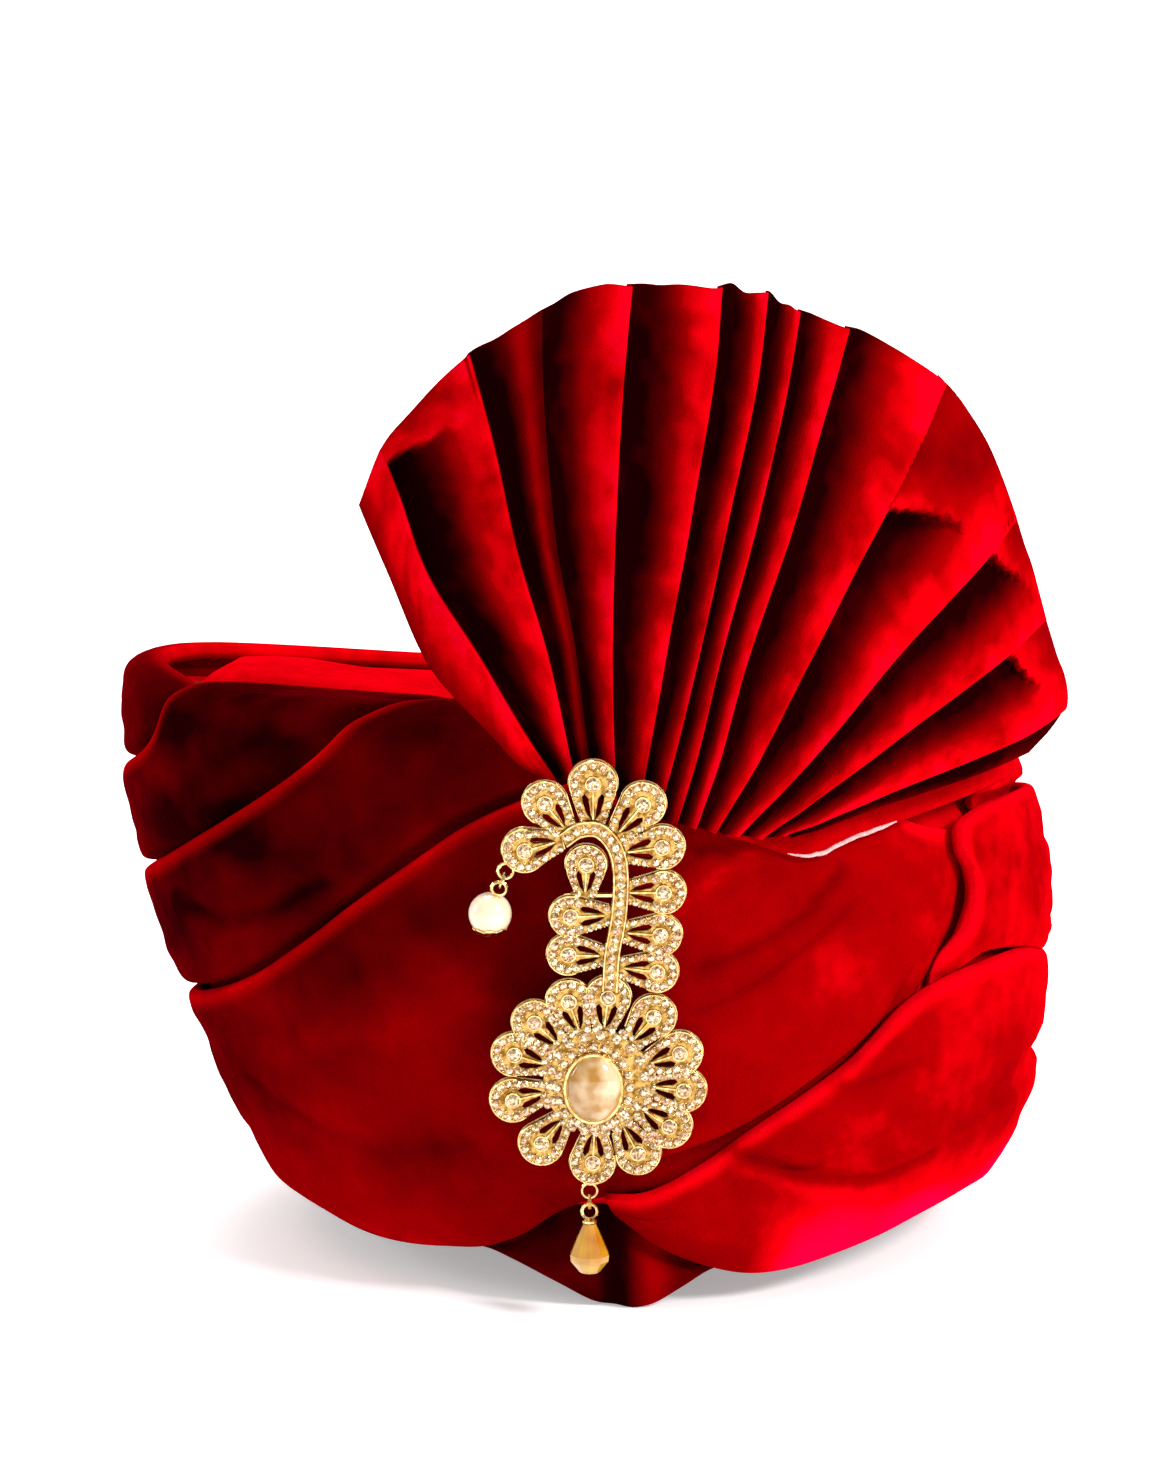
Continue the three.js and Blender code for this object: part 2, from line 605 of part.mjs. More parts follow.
const HOOK = [
  [4.6, 26],
  [5.2, 36],
  [6.9, 46],
  [7.4, 57],
  [6.2, 64],
  [2, 69.2],
  [-3, 69.4],
  [-7.5, 66.5],
];
const HOOK_WIDTH = 4.4;

function petalOutline({ width, long }) {
  const points = [new THREE.Vector2(-0.2 * width, 0)];
  for (let i = 0; i <= 6; i += 1) {
    const angle = (200 - 36.7 * i) * DEGREE;
    points.push(
      new THREE.Vector2(0.5 * width * Math.cos(angle), long - 0.48 * width + 0.48 * width * Math.sin(angle)),
    );
  }
  points.push(new THREE.Vector2(0.2 * width, 0));
  return points.reverse();
}

function petalSlits({ width, long }) {
  return [-1, 1].map((side) => [
    new THREE.Vector2(side * 0.05 * width, 0.24 * long),
    new THREE.Vector2(side * 0.24 * width, 0.5 * long),
    new THREE.Vector2(side * 0.13 * width, 0.56 * long),
  ]);
}

function stone(radius, height) {
  const profile = [
    [0, 0],
    [radius, 0],
    [radius, 0.35 * height],
    [0.6 * radius, height],
    [0, height],
  ].map(([out, up]) => new THREE.Vector2(out, up));
  return new THREE.LatheGeometry(profile, STONE_SIDES).rotateX(90 * DEGREE);
}

function petalSolid(petal) {
  const place = new THREE.Matrix4()
    .makeTranslation(petal.across, petal.up, 0)
    .multiply(new THREE.Matrix4().makeRotationZ(-petal.turn * DEGREE));
  const gem = new THREE.Matrix4().makeTranslation(0, 0.7 * petal.long, PLATE_THICK - 0.2);
  return [
    solidOf(slab(petalOutline(petal), petalSlits(petal), 0, PLATE_THICK), place),
    solidOf(stone(1.9, 1.5), place.clone().multiply(gem)),
  ];
}

function hookOutline() {
  const line = HOOK.map(([across, up]) => new THREE.Vector2(across, up));
  const sides = [1, -1].map((side) =>
    line.map((point, i) => {
      const along = line[Math.min(i + 1, line.length - 1)].clone().sub(line[Math.max(i - 1, 0)]).normalize();
      const out = new THREE.Vector2(side * along.y, -side * along.x).multiplyScalar(HOOK_WIDTH / 2);
      return point.clone().add(out);
    }),
  );
  return [...sides[0], ...sides[1].reverse()];
}

function torus(radius, wire) {
  return new THREE.TorusGeometry(radius, wire, 5, 12);
}

const EYE_LEFT = { across: -22.2, up: 58 };
const EYE_LOW = { across: -0.6, up: -29 };
const EYE_DEPTH = 1.2;

function sarpechSolid() {
  const disc = new THREE.CylinderGeometry(FLOWER_FOOT + 1.6, FLOWER_FOOT + 1.6, PLATE_THICK, 24);
  disc.rotateX(90 * DEGREE).translate(FLOWER.across, FLOWER.up, PLATE_THICK / 2);
  const flower = FLOWER_TURNS.map((turn) => ({
    across: FLOWER.across + FLOWER_FOOT * Math.sin(turn * DEGREE),
    up: FLOWER.up + FLOWER_FOOT * Math.cos(turn * DEGREE),
    turn,
    width: PETAL_WIDTH,
    long: PETAL_LONG,
  }));
  const ringStones = Array.from({ length: 14 }, (_, i) => {
    const angle = (i / 14) * 360 * DEGREE;
    return solidOf(
      stone(1.7, 1.3),
      new THREE.Matrix4().makeTranslation(
        FLOWER.across + 1.02 * FLOWER_FOOT * Math.sin(angle),
        FLOWER.up + 1.02 * FLOWER_FOOT * Math.cos(angle),
        PLATE_THICK - 0.2,
      ),
    );
  });
  const bar = new THREE.BoxGeometry(12, 1.6, 1.4).translate(0.5, 51.5, 0.7);
  const eyes = [EYE_LEFT, EYE_LOW].map(({ across, up }) => torus(RING, WIRE).translate(across, up, EYE_DEPTH));
  const necks = [
    new THREE.BoxGeometry(1.6, 3.4, 1.6)
      .rotateZ(-40 * DEGREE)
      .translate(EYE_LEFT.across + 1.6, EYE_LEFT.up + 2.2, 1),
    new THREE.BoxGeometry(1.8, 2.6, 1.6).translate(EYE_LOW.across, EYE_LOW.up + 2.7, 1),
  ];
  return joined([
    solidOf(disc),
    ...flower.flatMap(petalSolid),
    ...SIDE_PETALS.flatMap(petalSolid),
    solidOf(slab(hookOutline(), [], 0, PLATE_THICK + 0.9)),
    ...ringStones,
    ...[bar, ...eyes, ...necks].map((geometry) => solidOf(geometry)),
  ]);
}

// An oval cabochon standing on the flower's disc
function cabochonGeometry() {
  const profile = [[0, 0]];
  for (let i = 0; i <= 5; i += 1) {
    const angle = (i / 5) * 90 * DEGREE;
    profile.push([Math.cos(angle), Math.sin(angle)]);
  }
  const points = profile.map(([out, up]) => new THREE.Vector2(Math.max(0, out) < 1e-6 ? 0 : out, up));
  const geometry = new THREE.LatheGeometry(points, 18);
  return geometry.scale(CABOCHON.half, CABOCHON.tall, CABOCHON.high).rotateX(90 * DEGREE);
}

function lathe(points, sides) {
  return new THREE.LatheGeometry(points.map(([out, up]) => new THREE.Vector2(out, up)), sides);
}

// The pearl is drilled, and a headed pin with a loop at its top passes through it
function pearlGeometry() {
  const bore = PIN_RADIUS + 0.3;
  const low = Math.asin(bore / PEARL_RADIUS);
  const profile = [];
  for (let i = 0; i <= 8; i += 1) {
    const angle = mix(-Math.PI / 2 + low, Math.PI / 2 - low, i / 8);
    profile.push([PEARL_RADIUS * Math.cos(angle), PEARL_RADIUS * Math.sin(angle)]);
  }
  return lathe([...profile, profile[0]], 14);
}

const ALONG = new THREE.Matrix4().makeRotationX(90 * DEGREE);

function loopAt(height) {
  return solidOf(torus(RING, WIRE), new THREE.Matrix4().makeTranslation(0, 0, height).multiply(ALONG));
}

function pearlPinSolid() {
  const foot = -PEARL_RADIUS - 0.3;
  const profile = [
    [0, foot - 1.2],
    [1.3, foot - 1],
    [2.3, foot],
    [PIN_RADIUS, foot],
    [PIN_RADIUS, PIN_LOOP - RING + 0.1],
    [0, PIN_LOOP - RING + 0.1],
  ];
  return joined([solidOf(lathe(profile, 8), ALONG), loopAt(PIN_LOOP)]);
}

// A faceted teardrop under a gold cap with a loop
function crystalGeometry() {
  const profile = [
    [0, 0],
    [2.6, 0.4],
    [5.2, 3.6],
    [5.3, 5.2],
    [3.6, 9.2],
    [1.7, CRYSTAL_LONG],
    [0, CRYSTAL_LONG],
  ];
  return lathe(profile, 10).rotateX(90 * DEGREE).translate(0, 0, -CRYSTAL_LONG);
}

function crystalCapSolid() {
  const profile = [
    [0, 0.3],
    [1.9, 0.3],
    [1.9, 0.9],
    [0.8, 1.5],
    [0, 1.5],
  ];
  return joined([solidOf(lathe(profile, 10), ALONG), loopAt(CRYSTAL_LOOP)]);
}

const FABRIC = { color: 0xa3000f, roughness: 0.85, metalness: 0 };
const GOLD = { color: 0xc9a95a, roughness: 0.25, metalness: 1 };
const PEARL = { color: 0xf1dcae, roughness: 0.2, metalness: 0 };
const CRYSTAL = { color: 0xd8a84e, roughness: 0.05, metalness: 0 };

const pagri = new THREE.Group();
const onHead = new THREE.Group();
onHead.position.set(AXIS_X, AXIS_Y, 0);
pagri.add(onHead);

function add(name, geometry, look, parent = onHead) {
  const mesh = new THREE.Mesh(geometry, new THREE.MeshStandardMaterial(look));
  mesh.name = name;
  parent.add(mesh);
  return mesh;
}

add('crown', crownGeometry(), FABRIC);
add('brow_band', bandGeometry(), FABRIC);
add('rim_wrap', wrapGeometry(RIM_WRAP), FABRIC);
add('upper_wrap', wrapGeometry(UPPER_WRAP), FABRIC);
add('middle_wrap', wrapGeometry(MIDDLE_WRAP), FABRIC);
add('front_wrap', wrapGeometry(FRONT_WRAP), FABRIC);
add('lower_wrap', wrapGeometry(LOWER_WRAP), FABRIC);
add('fan', fanGeometry(), FABRIC);
add('fan_tail', tailGeometry(), FABRIC);

// The brooch stands on a plane that leans out towards its top; flat depth becomes -Y
const brooch = new THREE.Group();
brooch.position.set(BROOCH_X, BROOCH_Y, BROOCH_Z);
brooch.rotation.set((90 + BROOCH_TILT) * DEGREE, 0, 0);
onHead.add(brooch);
add('sarpech', geometryFrom(sarpechSolid()), GOLD, brooch);
add('centre_stone', cabochonGeometry(), CRYSTAL, brooch).position.set(0.4, -0.4, PLATE_THICK + 0.3);

const pinShape = new THREE.CylinderGeometry(PIN_BAR.radius, PIN_BAR.radius, PIN_BAR.long, 8);
const pin = add('brooch_pin', pinShape, GOLD, brooch);
pin.position.set(PIN_BAR.across, PIN_BAR.up, -PIN_BAR.behind);
pin.rotation.x = -BROOCH_TILT * DEGREE;

// A drop hangs from its eye on a jump ring: its own Z runs up the chain
function dropAt(eye, leanAcross, leanBack) {
  const up = new THREE.Vector3(-leanAcross, 1, -leanBack).normalize();
  const forward = new THREE.Vector3(0, 0, 1).addScaledVector(up, -up.z).normalize();
  const group = new THREE.Group();
  const basis = new THREE.Matrix4().makeBasis(new THREE.Vector3().crossVectors(forward, up), forward, up);
  group.quaternion.setFromRotationMatrix(basis);
  group.position.set(eye.across, eye.up, EYE_DEPTH);
  brooch.add(group);
  return group;
}

function jumpRing(name, group) {
  const ring = add(name, torus(RING, WIRE), GOLD, group);
  ring.rotation.y = 90 * DEGREE;
  ring.position.z = -LINK_STEP;
}

const pearlDrop = dropAt(EYE_LEFT, -0.33, -0.28);
jumpRing('pearl_ring', pearlDrop);
const pearlHeight = -2 * LINK_STEP - PIN_LOOP;
add('pearl', pearlGeometry().rotateX(90 * DEGREE), PEARL, pearlDrop).position.z = pearlHeight;
add('pearl_pin', geometryFrom(pearlPinSolid()), GOLD, pearlDrop).position.z = pearlHeight;

const crystalDrop = dropAt(EYE_LOW, 0, 0.087);
jumpRing('crystal_ring', crystalDrop);
const crystalHeight = -2 * LINK_STEP - CRYSTAL_LOOP;
add('crystal', crystalGeometry(), CRYSTAL, crystalDrop).position.z = crystalHeight;
add('crystal_cap', geometryFrom(crystalCapSolid()), GOLD, crystalDrop).position.z = crystalHeight;

export default pagri;
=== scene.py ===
import math

import bpy
import numpy as np
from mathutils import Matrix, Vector


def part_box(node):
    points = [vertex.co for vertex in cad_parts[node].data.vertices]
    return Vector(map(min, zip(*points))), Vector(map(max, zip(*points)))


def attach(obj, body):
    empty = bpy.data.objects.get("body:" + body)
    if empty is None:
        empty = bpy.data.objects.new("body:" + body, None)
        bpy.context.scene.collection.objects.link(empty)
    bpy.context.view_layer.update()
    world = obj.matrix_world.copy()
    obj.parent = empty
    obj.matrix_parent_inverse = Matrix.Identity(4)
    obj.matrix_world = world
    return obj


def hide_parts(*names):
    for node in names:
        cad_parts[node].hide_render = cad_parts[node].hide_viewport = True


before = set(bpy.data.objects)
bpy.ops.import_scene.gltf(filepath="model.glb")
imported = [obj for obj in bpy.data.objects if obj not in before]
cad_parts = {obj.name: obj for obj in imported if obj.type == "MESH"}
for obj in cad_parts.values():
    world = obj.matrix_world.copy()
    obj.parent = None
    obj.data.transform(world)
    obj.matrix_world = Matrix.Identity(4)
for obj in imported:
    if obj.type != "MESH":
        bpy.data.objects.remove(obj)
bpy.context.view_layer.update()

# The looks of a tied velvet pagri. Tables are in millimetres from the head's axis and the ground.
AXIS = np.array([12.0, 9.0, 0.0])  # the head's axis in the part's own frame
METRE = 0.001


def linked(name, data):
    """A new object in the scene"""
    made = bpy.data.objects.new(name, data)
    bpy.context.scene.collection.objects.link(made)
    return made


# The camera, at the photograph's height and distance
def add_camera():
    target = Vector((-0.0006, 0.009, 0.1356))
    lift = math.radians(10)
    distance = 1.5
    camera = linked("camera", bpy.data.cameras.new("camera"))
    camera.location = target + distance * Vector((0, -math.cos(lift), math.sin(lift)))
    camera.rotation_euler = (math.radians(90) - lift, 0, 0)
    camera.data.sensor_width = 36
    camera.data.lens = 131.3
    camera.data.clip_end = 20
    bpy.context.scene.camera = camera


add_camera()


# Tables and curves
def table(names, rows):
    return {key: np.array(column, float) for key, column in zip(names.split(), zip(*rows))}


def curve(across, values, at):
    at = np.asarray(at, float)
    index = np.arange(len(across))
    before = np.maximum(index - 1, 0)
    after = np.minimum(index + 1, len(across) - 1)
    slope = (values[after] - values[before]) / (across[after] - across[before])
    i = np.clip(np.searchsorted(across, at) - 1, 0, len(across) - 2)
    span = across[i + 1] - across[i]
    share = (at - across[i]) / span
    s = np.clip(share, 0, 1)
    start = slope[i] * span
    end = slope[i + 1] * span
    inside = (
        (2 * s**3 - 3 * s**2 + 1) * values[i]
        + (s**3 - 2 * s**2 + s) * start
        + (3 * s**2 - 2 * s**3) * values[i + 1]
        + (s**3 - s**2) * end
    )
    return inside + np.minimum(share, 0) * start + np.maximum(share - 1, 0) * end


def mix(start, end, share):
    return start + (end - start) * share


def ease(start, end, at):
    s = np.clip((np.asarray(at, float) - start) / (end - start), 0, 1)
    return s * s * (3 - 2 * s)


# Smooth noise from -1 to 1, one lump to a unit
LATTICE = np.random.default_rng(11).uniform(-1, 1, 4096)


def lumps(points, seed=0):
    points = np.asarray(points, float)
    cell = np.floor(points).astype(np.int64)
    share = points - cell
    share = share * share * (3 - 2 * share)
    total = np.zeros(points.shape[:-1])
    for corner in np.ndindex(2, 2, 2):
        x, y, z = (cell[..., k] + corner[k] for k in range(3))
        key = (x * 73856093 ^ y * 19349663 ^ z * 83492791 ^ seed * 2654435) & 4095
        weight = 1.0
        for k in range(3):
            weight = weight * (share[..., k] if corner[k] else 1 - share[..., k])
        total += weight * LATTICE[key]
    return total


# The body surface that the cloth is wound on
BODY = table("girth left front right back leftZ frontZ rightZ backZ", [
    [0, 90, 110, 87, 104, 0, 0, 0, 0],
    [30, 106, 114, 107, 110, 30, 30, 30, 30],
    [60, 120.5, 116, 114, 113, 60, 60, 60, 60],
    [95, 133, 116, 115, 114, 95, 95, 94, 94],
    [125, 139.5, 114, 111, 113, 125, 126, 120, 120],
    [150, 140, 108, 101.5, 107, 148.5, 150, 134.5, 135],
    [157, 139, 102.8, 95.5, 101.5, 153.5, 154.5, 138, 138],
    [165, 133.5, 95, 88, 94.5, 156, 158, 140, 139.5],
    [190, 107.5, 70, 66, 70, 154, 155, 139.5, 138],
    [230, 50, 36, 32, 34, 148.5, 149, 138, 137.5],
])


def body_point(angle, girth):
    angle, girth = np.broadcast_arrays(np.asarray(angle, float), np.asarray(girth, float))
    reach = {key: curve(BODY["girth"], BODY[key], girth) for key in BODY}
    sine = np.sin(np.radians(angle))
    cosine = np.cos(np.radians(angle))
    x = sine * np.where(sine < 0, reach["left"], reach["right"])
    y = -cosine * np.where(cosine > 0, reach["front"], reach["back"])
    side = np.where(sine < 0, reach["leftZ"], reach["rightZ"])
    end = np.where(cosine > 0, reach["frontZ"], reach["backZ"])
    return np.stack([x, y, sine**2 * side + cosine**2 * end], -1)


def offset_point(angle, girth, offset):
    angle, girth = np.asarray(angle, float), np.asarray(girth, float)
    along = body_point(angle + 0.5, girth) - body_point(angle - 0.5, girth)
    up = body_point(angle, girth + 0.5) - body_point(angle, girth - 0.5)
    normal = np.cross(along, up)
    normal /= np.linalg.norm(normal, axis=-1, keepdims=True)
    return body_point(angle, girth) + normal * np.asarray(offset)[..., None]


def run(points):
    """The distance along a row of points, from its first"""
    steps = np.linalg.norm(np.diff(points, axis=0), axis=-1)
    return np.concatenate([[0], np.cumsum(steps)])


def smooth_line(points, steps):
    """Points on a smooth line through the given ones, with so many steps on each stretch"""
    points = np.asarray(points, float)
    passed = run(points)
    at = [passed[i] + (passed[i + 1] - passed[i]) * k / n for i, n in enumerate(steps) for k in range(n)]
    at.append(passed[-1])
    return np.stack([curve(passed, points[:, k], at) for k in range(points.shape[1])], -1)


# Meshes
def mesh_piece(name, points, faces, materials, attributes=(), flat=False, slots=None):
    mesh = bpy.data.meshes.new(name)
    mesh.from_pydata(((points + AXIS) * METRE).tolist(), [], faces)
    for material in materials:
        mesh.materials.append(material)
    for key, values in attributes:
        layer = mesh.attributes.new(key, "FLOAT", "POINT")
        layer.data.foreach_set("value", np.asarray(values, np.float32).ravel())
    mesh.polygons.foreach_set("use_smooth", [not flat] * len(mesh.polygons))
    if slots is not None:
        mesh.polygons.foreach_set("material_index", slots)
    mesh.update()
    return linked(name, mesh)


def enclosed(points, faces):
    """The volume inside the faces, below nought where they point inwards"""
    first = points[faces[:, 0]]
    total = 0
    for k in range(1, faces.shape[1] - 1):
        total += np.einsum("ij,ij->", first, np.cross(points[faces[:, k]], points[faces[:, k + 1]]))
    return total


def ring_faces(count, size, joined):
    """The faces between rings of points, where each ring is a closed loop"""
    i, k = np.meshgrid(np.arange(count if joined else count - 1), np.arange(size), indexing="ij")
    j = (i + 1) % count
    m = (k + 1) % size
    return np.stack([i * size + k, i * size + m, j * size + m, j * size + k], -1).reshape(-1, 4)


def tip_faces(first, size, tip):
    """The faces from a ring, given by its first point, to the point that closes it"""
    k = np.arange(size)
    return np.stack([first + k, first + (k + 1) % size, np.full(size, tip)], -1)


def tube_faces(count, size, joined):
    """Rings of points: each ring's first half is the face, its second half runs back"""
    quads = ring_faces(count, size, joined)
    if joined:
        return quads
    k = np.arange(size // 2 - 1)
    cap = np.stack([k, k + 1, size - 2 - k, size - 1 - k], -1)
    return np.vstack([quads, cap[:, ::-1], (count - 1) * size + cap])


def tube(name, rings, materials, attributes=(), joined=False, inside=None):
    count, size = rings.shape[:2]
    points = rings.reshape(-1, 3)
    faces = tube_faces(count, size, joined)
    slots = None
    if inside is not None:
        slots = inside.reshape(-1)[faces].all(axis=1).astype(int).tolist()
    if enclosed(points, faces) < 0:
        faces = faces[:, ::-1]
    return mesh_piece(name, points, faces.tolist(), materials, attributes, slots=slots)


# Shader maths
class Value:
    def __init__(self, look, socket):
        self.look = look
        self.socket = socket

    def maths(self, operation, first, second):
        return self.look.node("Math", {"operation": operation}, {0: first, 1: second})

    def __add__(self, other):
        return self.maths("ADD", self, other)

    def __sub__(self, other):
        return self.maths("SUBTRACT", self, other)

    def __mul__(self, other):
        return self.maths("MULTIPLY", self, other)

    __radd__ = __add__


class Look:
    """One material, with its Principled shader"""

    def __init__(self, name, **settings):
        self.material = bpy.data.materials.new(name)
        self.material.use_nodes = True
        self.tree = self.material.node_tree
        self.shader = self.tree.nodes["Principled BSDF"]
        self.set(self.shader, settings)

    def set(self, node, values):
        for key, value in values.items():
            name = key.replace("_", " ") if isinstance(key, str) else key
            if isinstance(value, Value):
                self.tree.links.new(value.socket, node.inputs[name])
            else:
                node.inputs[name].default_value = value

    def node(self, kind, settings=None, values=None, output=0):
        made = self.tree.nodes.new("ShaderNode" + kind)
        for key, value in (settings or {}).items():
            setattr(made, key, value)
        self.set(made, values or {})
        return Value(self, made.outputs[output])

    def give(self, **values):
        self.set(self.shader, values)

    def place(self):
        return self.node("TexCoord", output="Object")

    def noise(self, scale, detail):
        return self.node("TexNoise", {}, {"Vector": self.place(), "Scale": scale, "Detail": detail})

    def between(self, value, low, high):
        return self.node("MapRange", {}, {"Value": value, "From Min": low, "From Max": high})

    def blend(self, share, first, second):
        return self.node("Mix", {"data_type": "RGBA"}, {0: share, 6: first, 7: second}, 2)

    def attribute(self, name):
        return self.node("Attribute", {"attribute_name": name}, output="Fac")

    def bump(self, height, distance, strength):
        return self.node("Bump", {}, {"Height": height, "Distance": distance, "Strength": strength})


def rgb(red, green, blue):
    """A colour as it is seen on a screen, from 0 to 255, as the shader's own numbers"""
    parts = [v / 255 for v in (red, green, blue)]
    return tuple(v / 12.92 if v < 0.04045 else ((v + 0.055) / 1.055) ** 2.4 for v in parts) + (1.0,)


def velvet():
    look = Look(
        "velvet", Roughness=0.9, Specular_IOR_Level=0.0, Sheen_Weight=0.16, Sheen_Roughness=0.3,
        Sheen_Tint=rgb(255, 0, 40),
    )
    patches = look.between(look.noise(26, 4), 0.34, 0.68)
    mottle = look.between(look.noise(170, 3), 0.3, 0.72)
    pile = look.noise(1500, 2)
    # Painted light: the cloth's attribute paints shade on the left, in valleys and in grooves, and
    # highlights on the right, on crests, lips and ridges; patches and mottle are the pile's own random tone
    nap = look.attribute("nap")
    share = nap * 0.86 + (patches * 0.6 + mottle * 0.4) * (0.08 + nap * 0.26) - 0.05
    low = look.blend(look.between(share, 0, 0.75), rgb(26, 0, 1), rgb(150, 0, 2))
    high = look.blend(look.between(share, 0.7, 1.05), low, rgb(214, 0, 10))
    # Above 1.02 the colour turns to a painted pink glint
    look.give(
        Base_Color=look.blend(look.between(nap, 1.02, 1.5), high, rgb(238, 0, 70)),
        Normal=look.bump(mottle * 0.5 + pile * 0.5, 0.0007, 0.6),
    )
    return look.material


def lining():
    look = Look("lining", Roughness=0.8, Specular_IOR_Level=0.2)
    thread = look.node("TexWave", {"bands_direction": "Z"}, {"Vector": look.place(), "Scale": 420})
    look.give(
        Base_Color=look.blend(thread, rgb(96, 3, 8), rgb(128, 6, 14)),
        Normal=look.bump(thread, 0.0002, 0.5),
    )
    return look.material


def selvage():
    look = Look("selvage", Roughness=0.85)
    threads = look.noise(900, 2)
    look.give(
        Base_Color=look.blend(threads, rgb(190, 80, 90), rgb(244, 205, 200)),
        Normal=look.bump(threads, 0.0003, 0.6),
    )
    return look.material


def gold(name, dark, light, roughness):
    look = Look(name, Metallic=1.0)
    grain = look.noise(900, 2)
    tone = look.between(look.noise(700, 2), 0.36, 0.64)
    look.give(
        Base_Color=look.blend(tone, dark, light),
        Roughness=look.between(grain, 0.5 - 2.4 * roughness, 3.2),
        Normal=look.bump(grain, 0.00008, 0.6),
    )
    return look.material


def champagne():
    look = Look("champagne_stone", Roughness=0.08, Metallic=0.7, Coat_Weight=0.5, Coat_Roughness=0.03)
    # Painted sparkle: fine noise spreads dark and pale spots over the stones as painted reflections
    painted_sparkle = look.between(look.noise(1500, 1), 0.36, 0.64)
    warm = look.between(look.noise(330, 1), 0.4, 0.62)
    glint = look.blend(warm, rgb(255, 240, 200), rgb(250, 206, 176))
    look.give(Base_Color=look.blend(painted_sparkle, rgb(140, 96, 40), glint))
    return look.material


def amber():
    look = Look(
        "amber", Roughness=0.03, IOR=1.6, Transmission_Weight=0.3, Coat_Weight=0.8, Coat_Roughness=0.02,
    )
    cloud = look.between(look.noise(90, 2), 0.3, 0.7)
    look.give(Base_Color=look.blend(cloud, rgb(196, 112, 4), rgb(250, 200, 60)))
    return look.material


def cream_stone():
    look = Look(
        "cream_stone", Roughness=0.08, IOR=1.6, Transmission_Weight=0.2, Coat_Weight=1.0,
        Coat_Roughness=0.02,
    )
    cloud = look.between(look.noise(95, 3), 0.42, 0.56)
    look.give(Base_Color=look.blend(cloud, rgb(186, 128, 24), rgb(238, 206, 160)))
    return look.material


def nacre():
    look = Look(
        "nacre", Roughness=0.16, Coat_Weight=0.8, Coat_Roughness=0.05, Sheen_Weight=0.3,
        Subsurface_Weight=0.15, Subsurface_Scale=0.002, Subsurface_Radius=(1.0, 0.7, 0.5),
    )
    skin = look.noise(160, 2)
    look.give(
        Base_Color=look.blend(skin, rgb(240, 205, 160), rgb(252, 234, 206)),
        Roughness=look.between(skin, -0.4, 3.6),
    )
    return look.material


VELVET = velvet()
LINING = lining()
SELVAGE = selvage()
GOLD = gold("gold", rgb(204, 158, 84), rgb(246, 222, 160), 0.2)
GOLD_DEEP = gold("gold_deep", rgb(120, 80, 26), rgb(206, 164, 92), 0.3)
CHAMPAGNE = champagne()
AMBER = amber()
CREAM = cream_stone()
NACRE = nacre()


# The wraps: a row is one section, from the rolled fold edge down to the edge tucked under the next
CROWN_OUT = -7.2
CROWN_IN = -9.6
CLOTH_BACK = -6.0
TUCK_FACE = -4.3
LIP_BACK = -2.7
LIP_FACE = 2.4
FACE = 1.2
LIP_WIDTH = 8.0
TUCK_WIDTH = 8.6
WRAP_COLUMNS = "edge edgeGirth tuck tuckGirth lift hem puff creaseAt crease"

RIM_WRAP = table(WRAP_COLUMNS, [
    [2, 166, 2, 137, 0.2, 0, 0, 0.5, 0],
    [20, 168, 20, 138, 1, 0, 0, 0.5, 0],
    [38, 168, 38, 136, 1, 0, 0, 0.5, 0],
    [58, 168, 58, 147, 1, 0, 0, 0.5, 0],
    [68, 168, 68, 138.5, 1, 0, 0, 0.5, 0],
    [90, 168, 90, 137, 1, 0, 0, 0.5, 0],
    [130, 168, 130, 124, 1, 0, 0, 0.5, 0],
    [180, 168, 180, 114, 1, 0, 0.4, 0.5, 0],
    [230, 168, 230, 114, 1, 0, 0.4, 0.5, 0],
    [262, 169, 262, 116, 1, 0, 0.4, 0.5, 0],
    [278, 170, 278, 122, 1, 0, 0, 0.5, 0],
    [290, 172, 290, 131, 0.7, 0, 0, 0.5, 0],
    [300, 173, 300, 159, 0, 0, 0, 0.5, 0],
])

UPPER_WRAP = table(WRAP_COLUMNS, [
    [62, 144, 62, 127, 0.3, 0, 0, 0.5, 0],
    [66, 144, 66, 126, 1, 0, 0, 0.5, 0],
    [75, 144, 75, 125, 1, 0, 0, 0.5, 0],
    [90, 143, 90, 119, 1, 0, 0, 0.5, 0],
    [130, 132, 130, 104, 1, 0, 0, 0.5, 0],
    [180, 122, 180, 92, 1, 0, 0.3, 0.5, 0],
    [230, 122, 230, 87, 1, 0, 0.5, 0.5, 0],
    [268, 125, 268, 90, 1, 0, 0.6, 0.5, 0],
    [280, 132, 282, 95, 1, 0, 0.8, 0.5, 0],
    [292, 142, 302, 109, 1, 0, 0.8, 0.5, 0],
    [298, 160, 312, 121, 1, 0, 0.6, 0.5, 0],
    [306, 178, 320, 137, 1, 0, 0.4, 0.5, 0],
    [316, 186, 327, 148, 1, 0, 0.2, 0.5, 0],
    [330, 190, 336, 162, 1, 0, 0, 0.5, 0],
    [346, 192, 346, 178, 0.3, 0, 0, 0.5, 0],
])

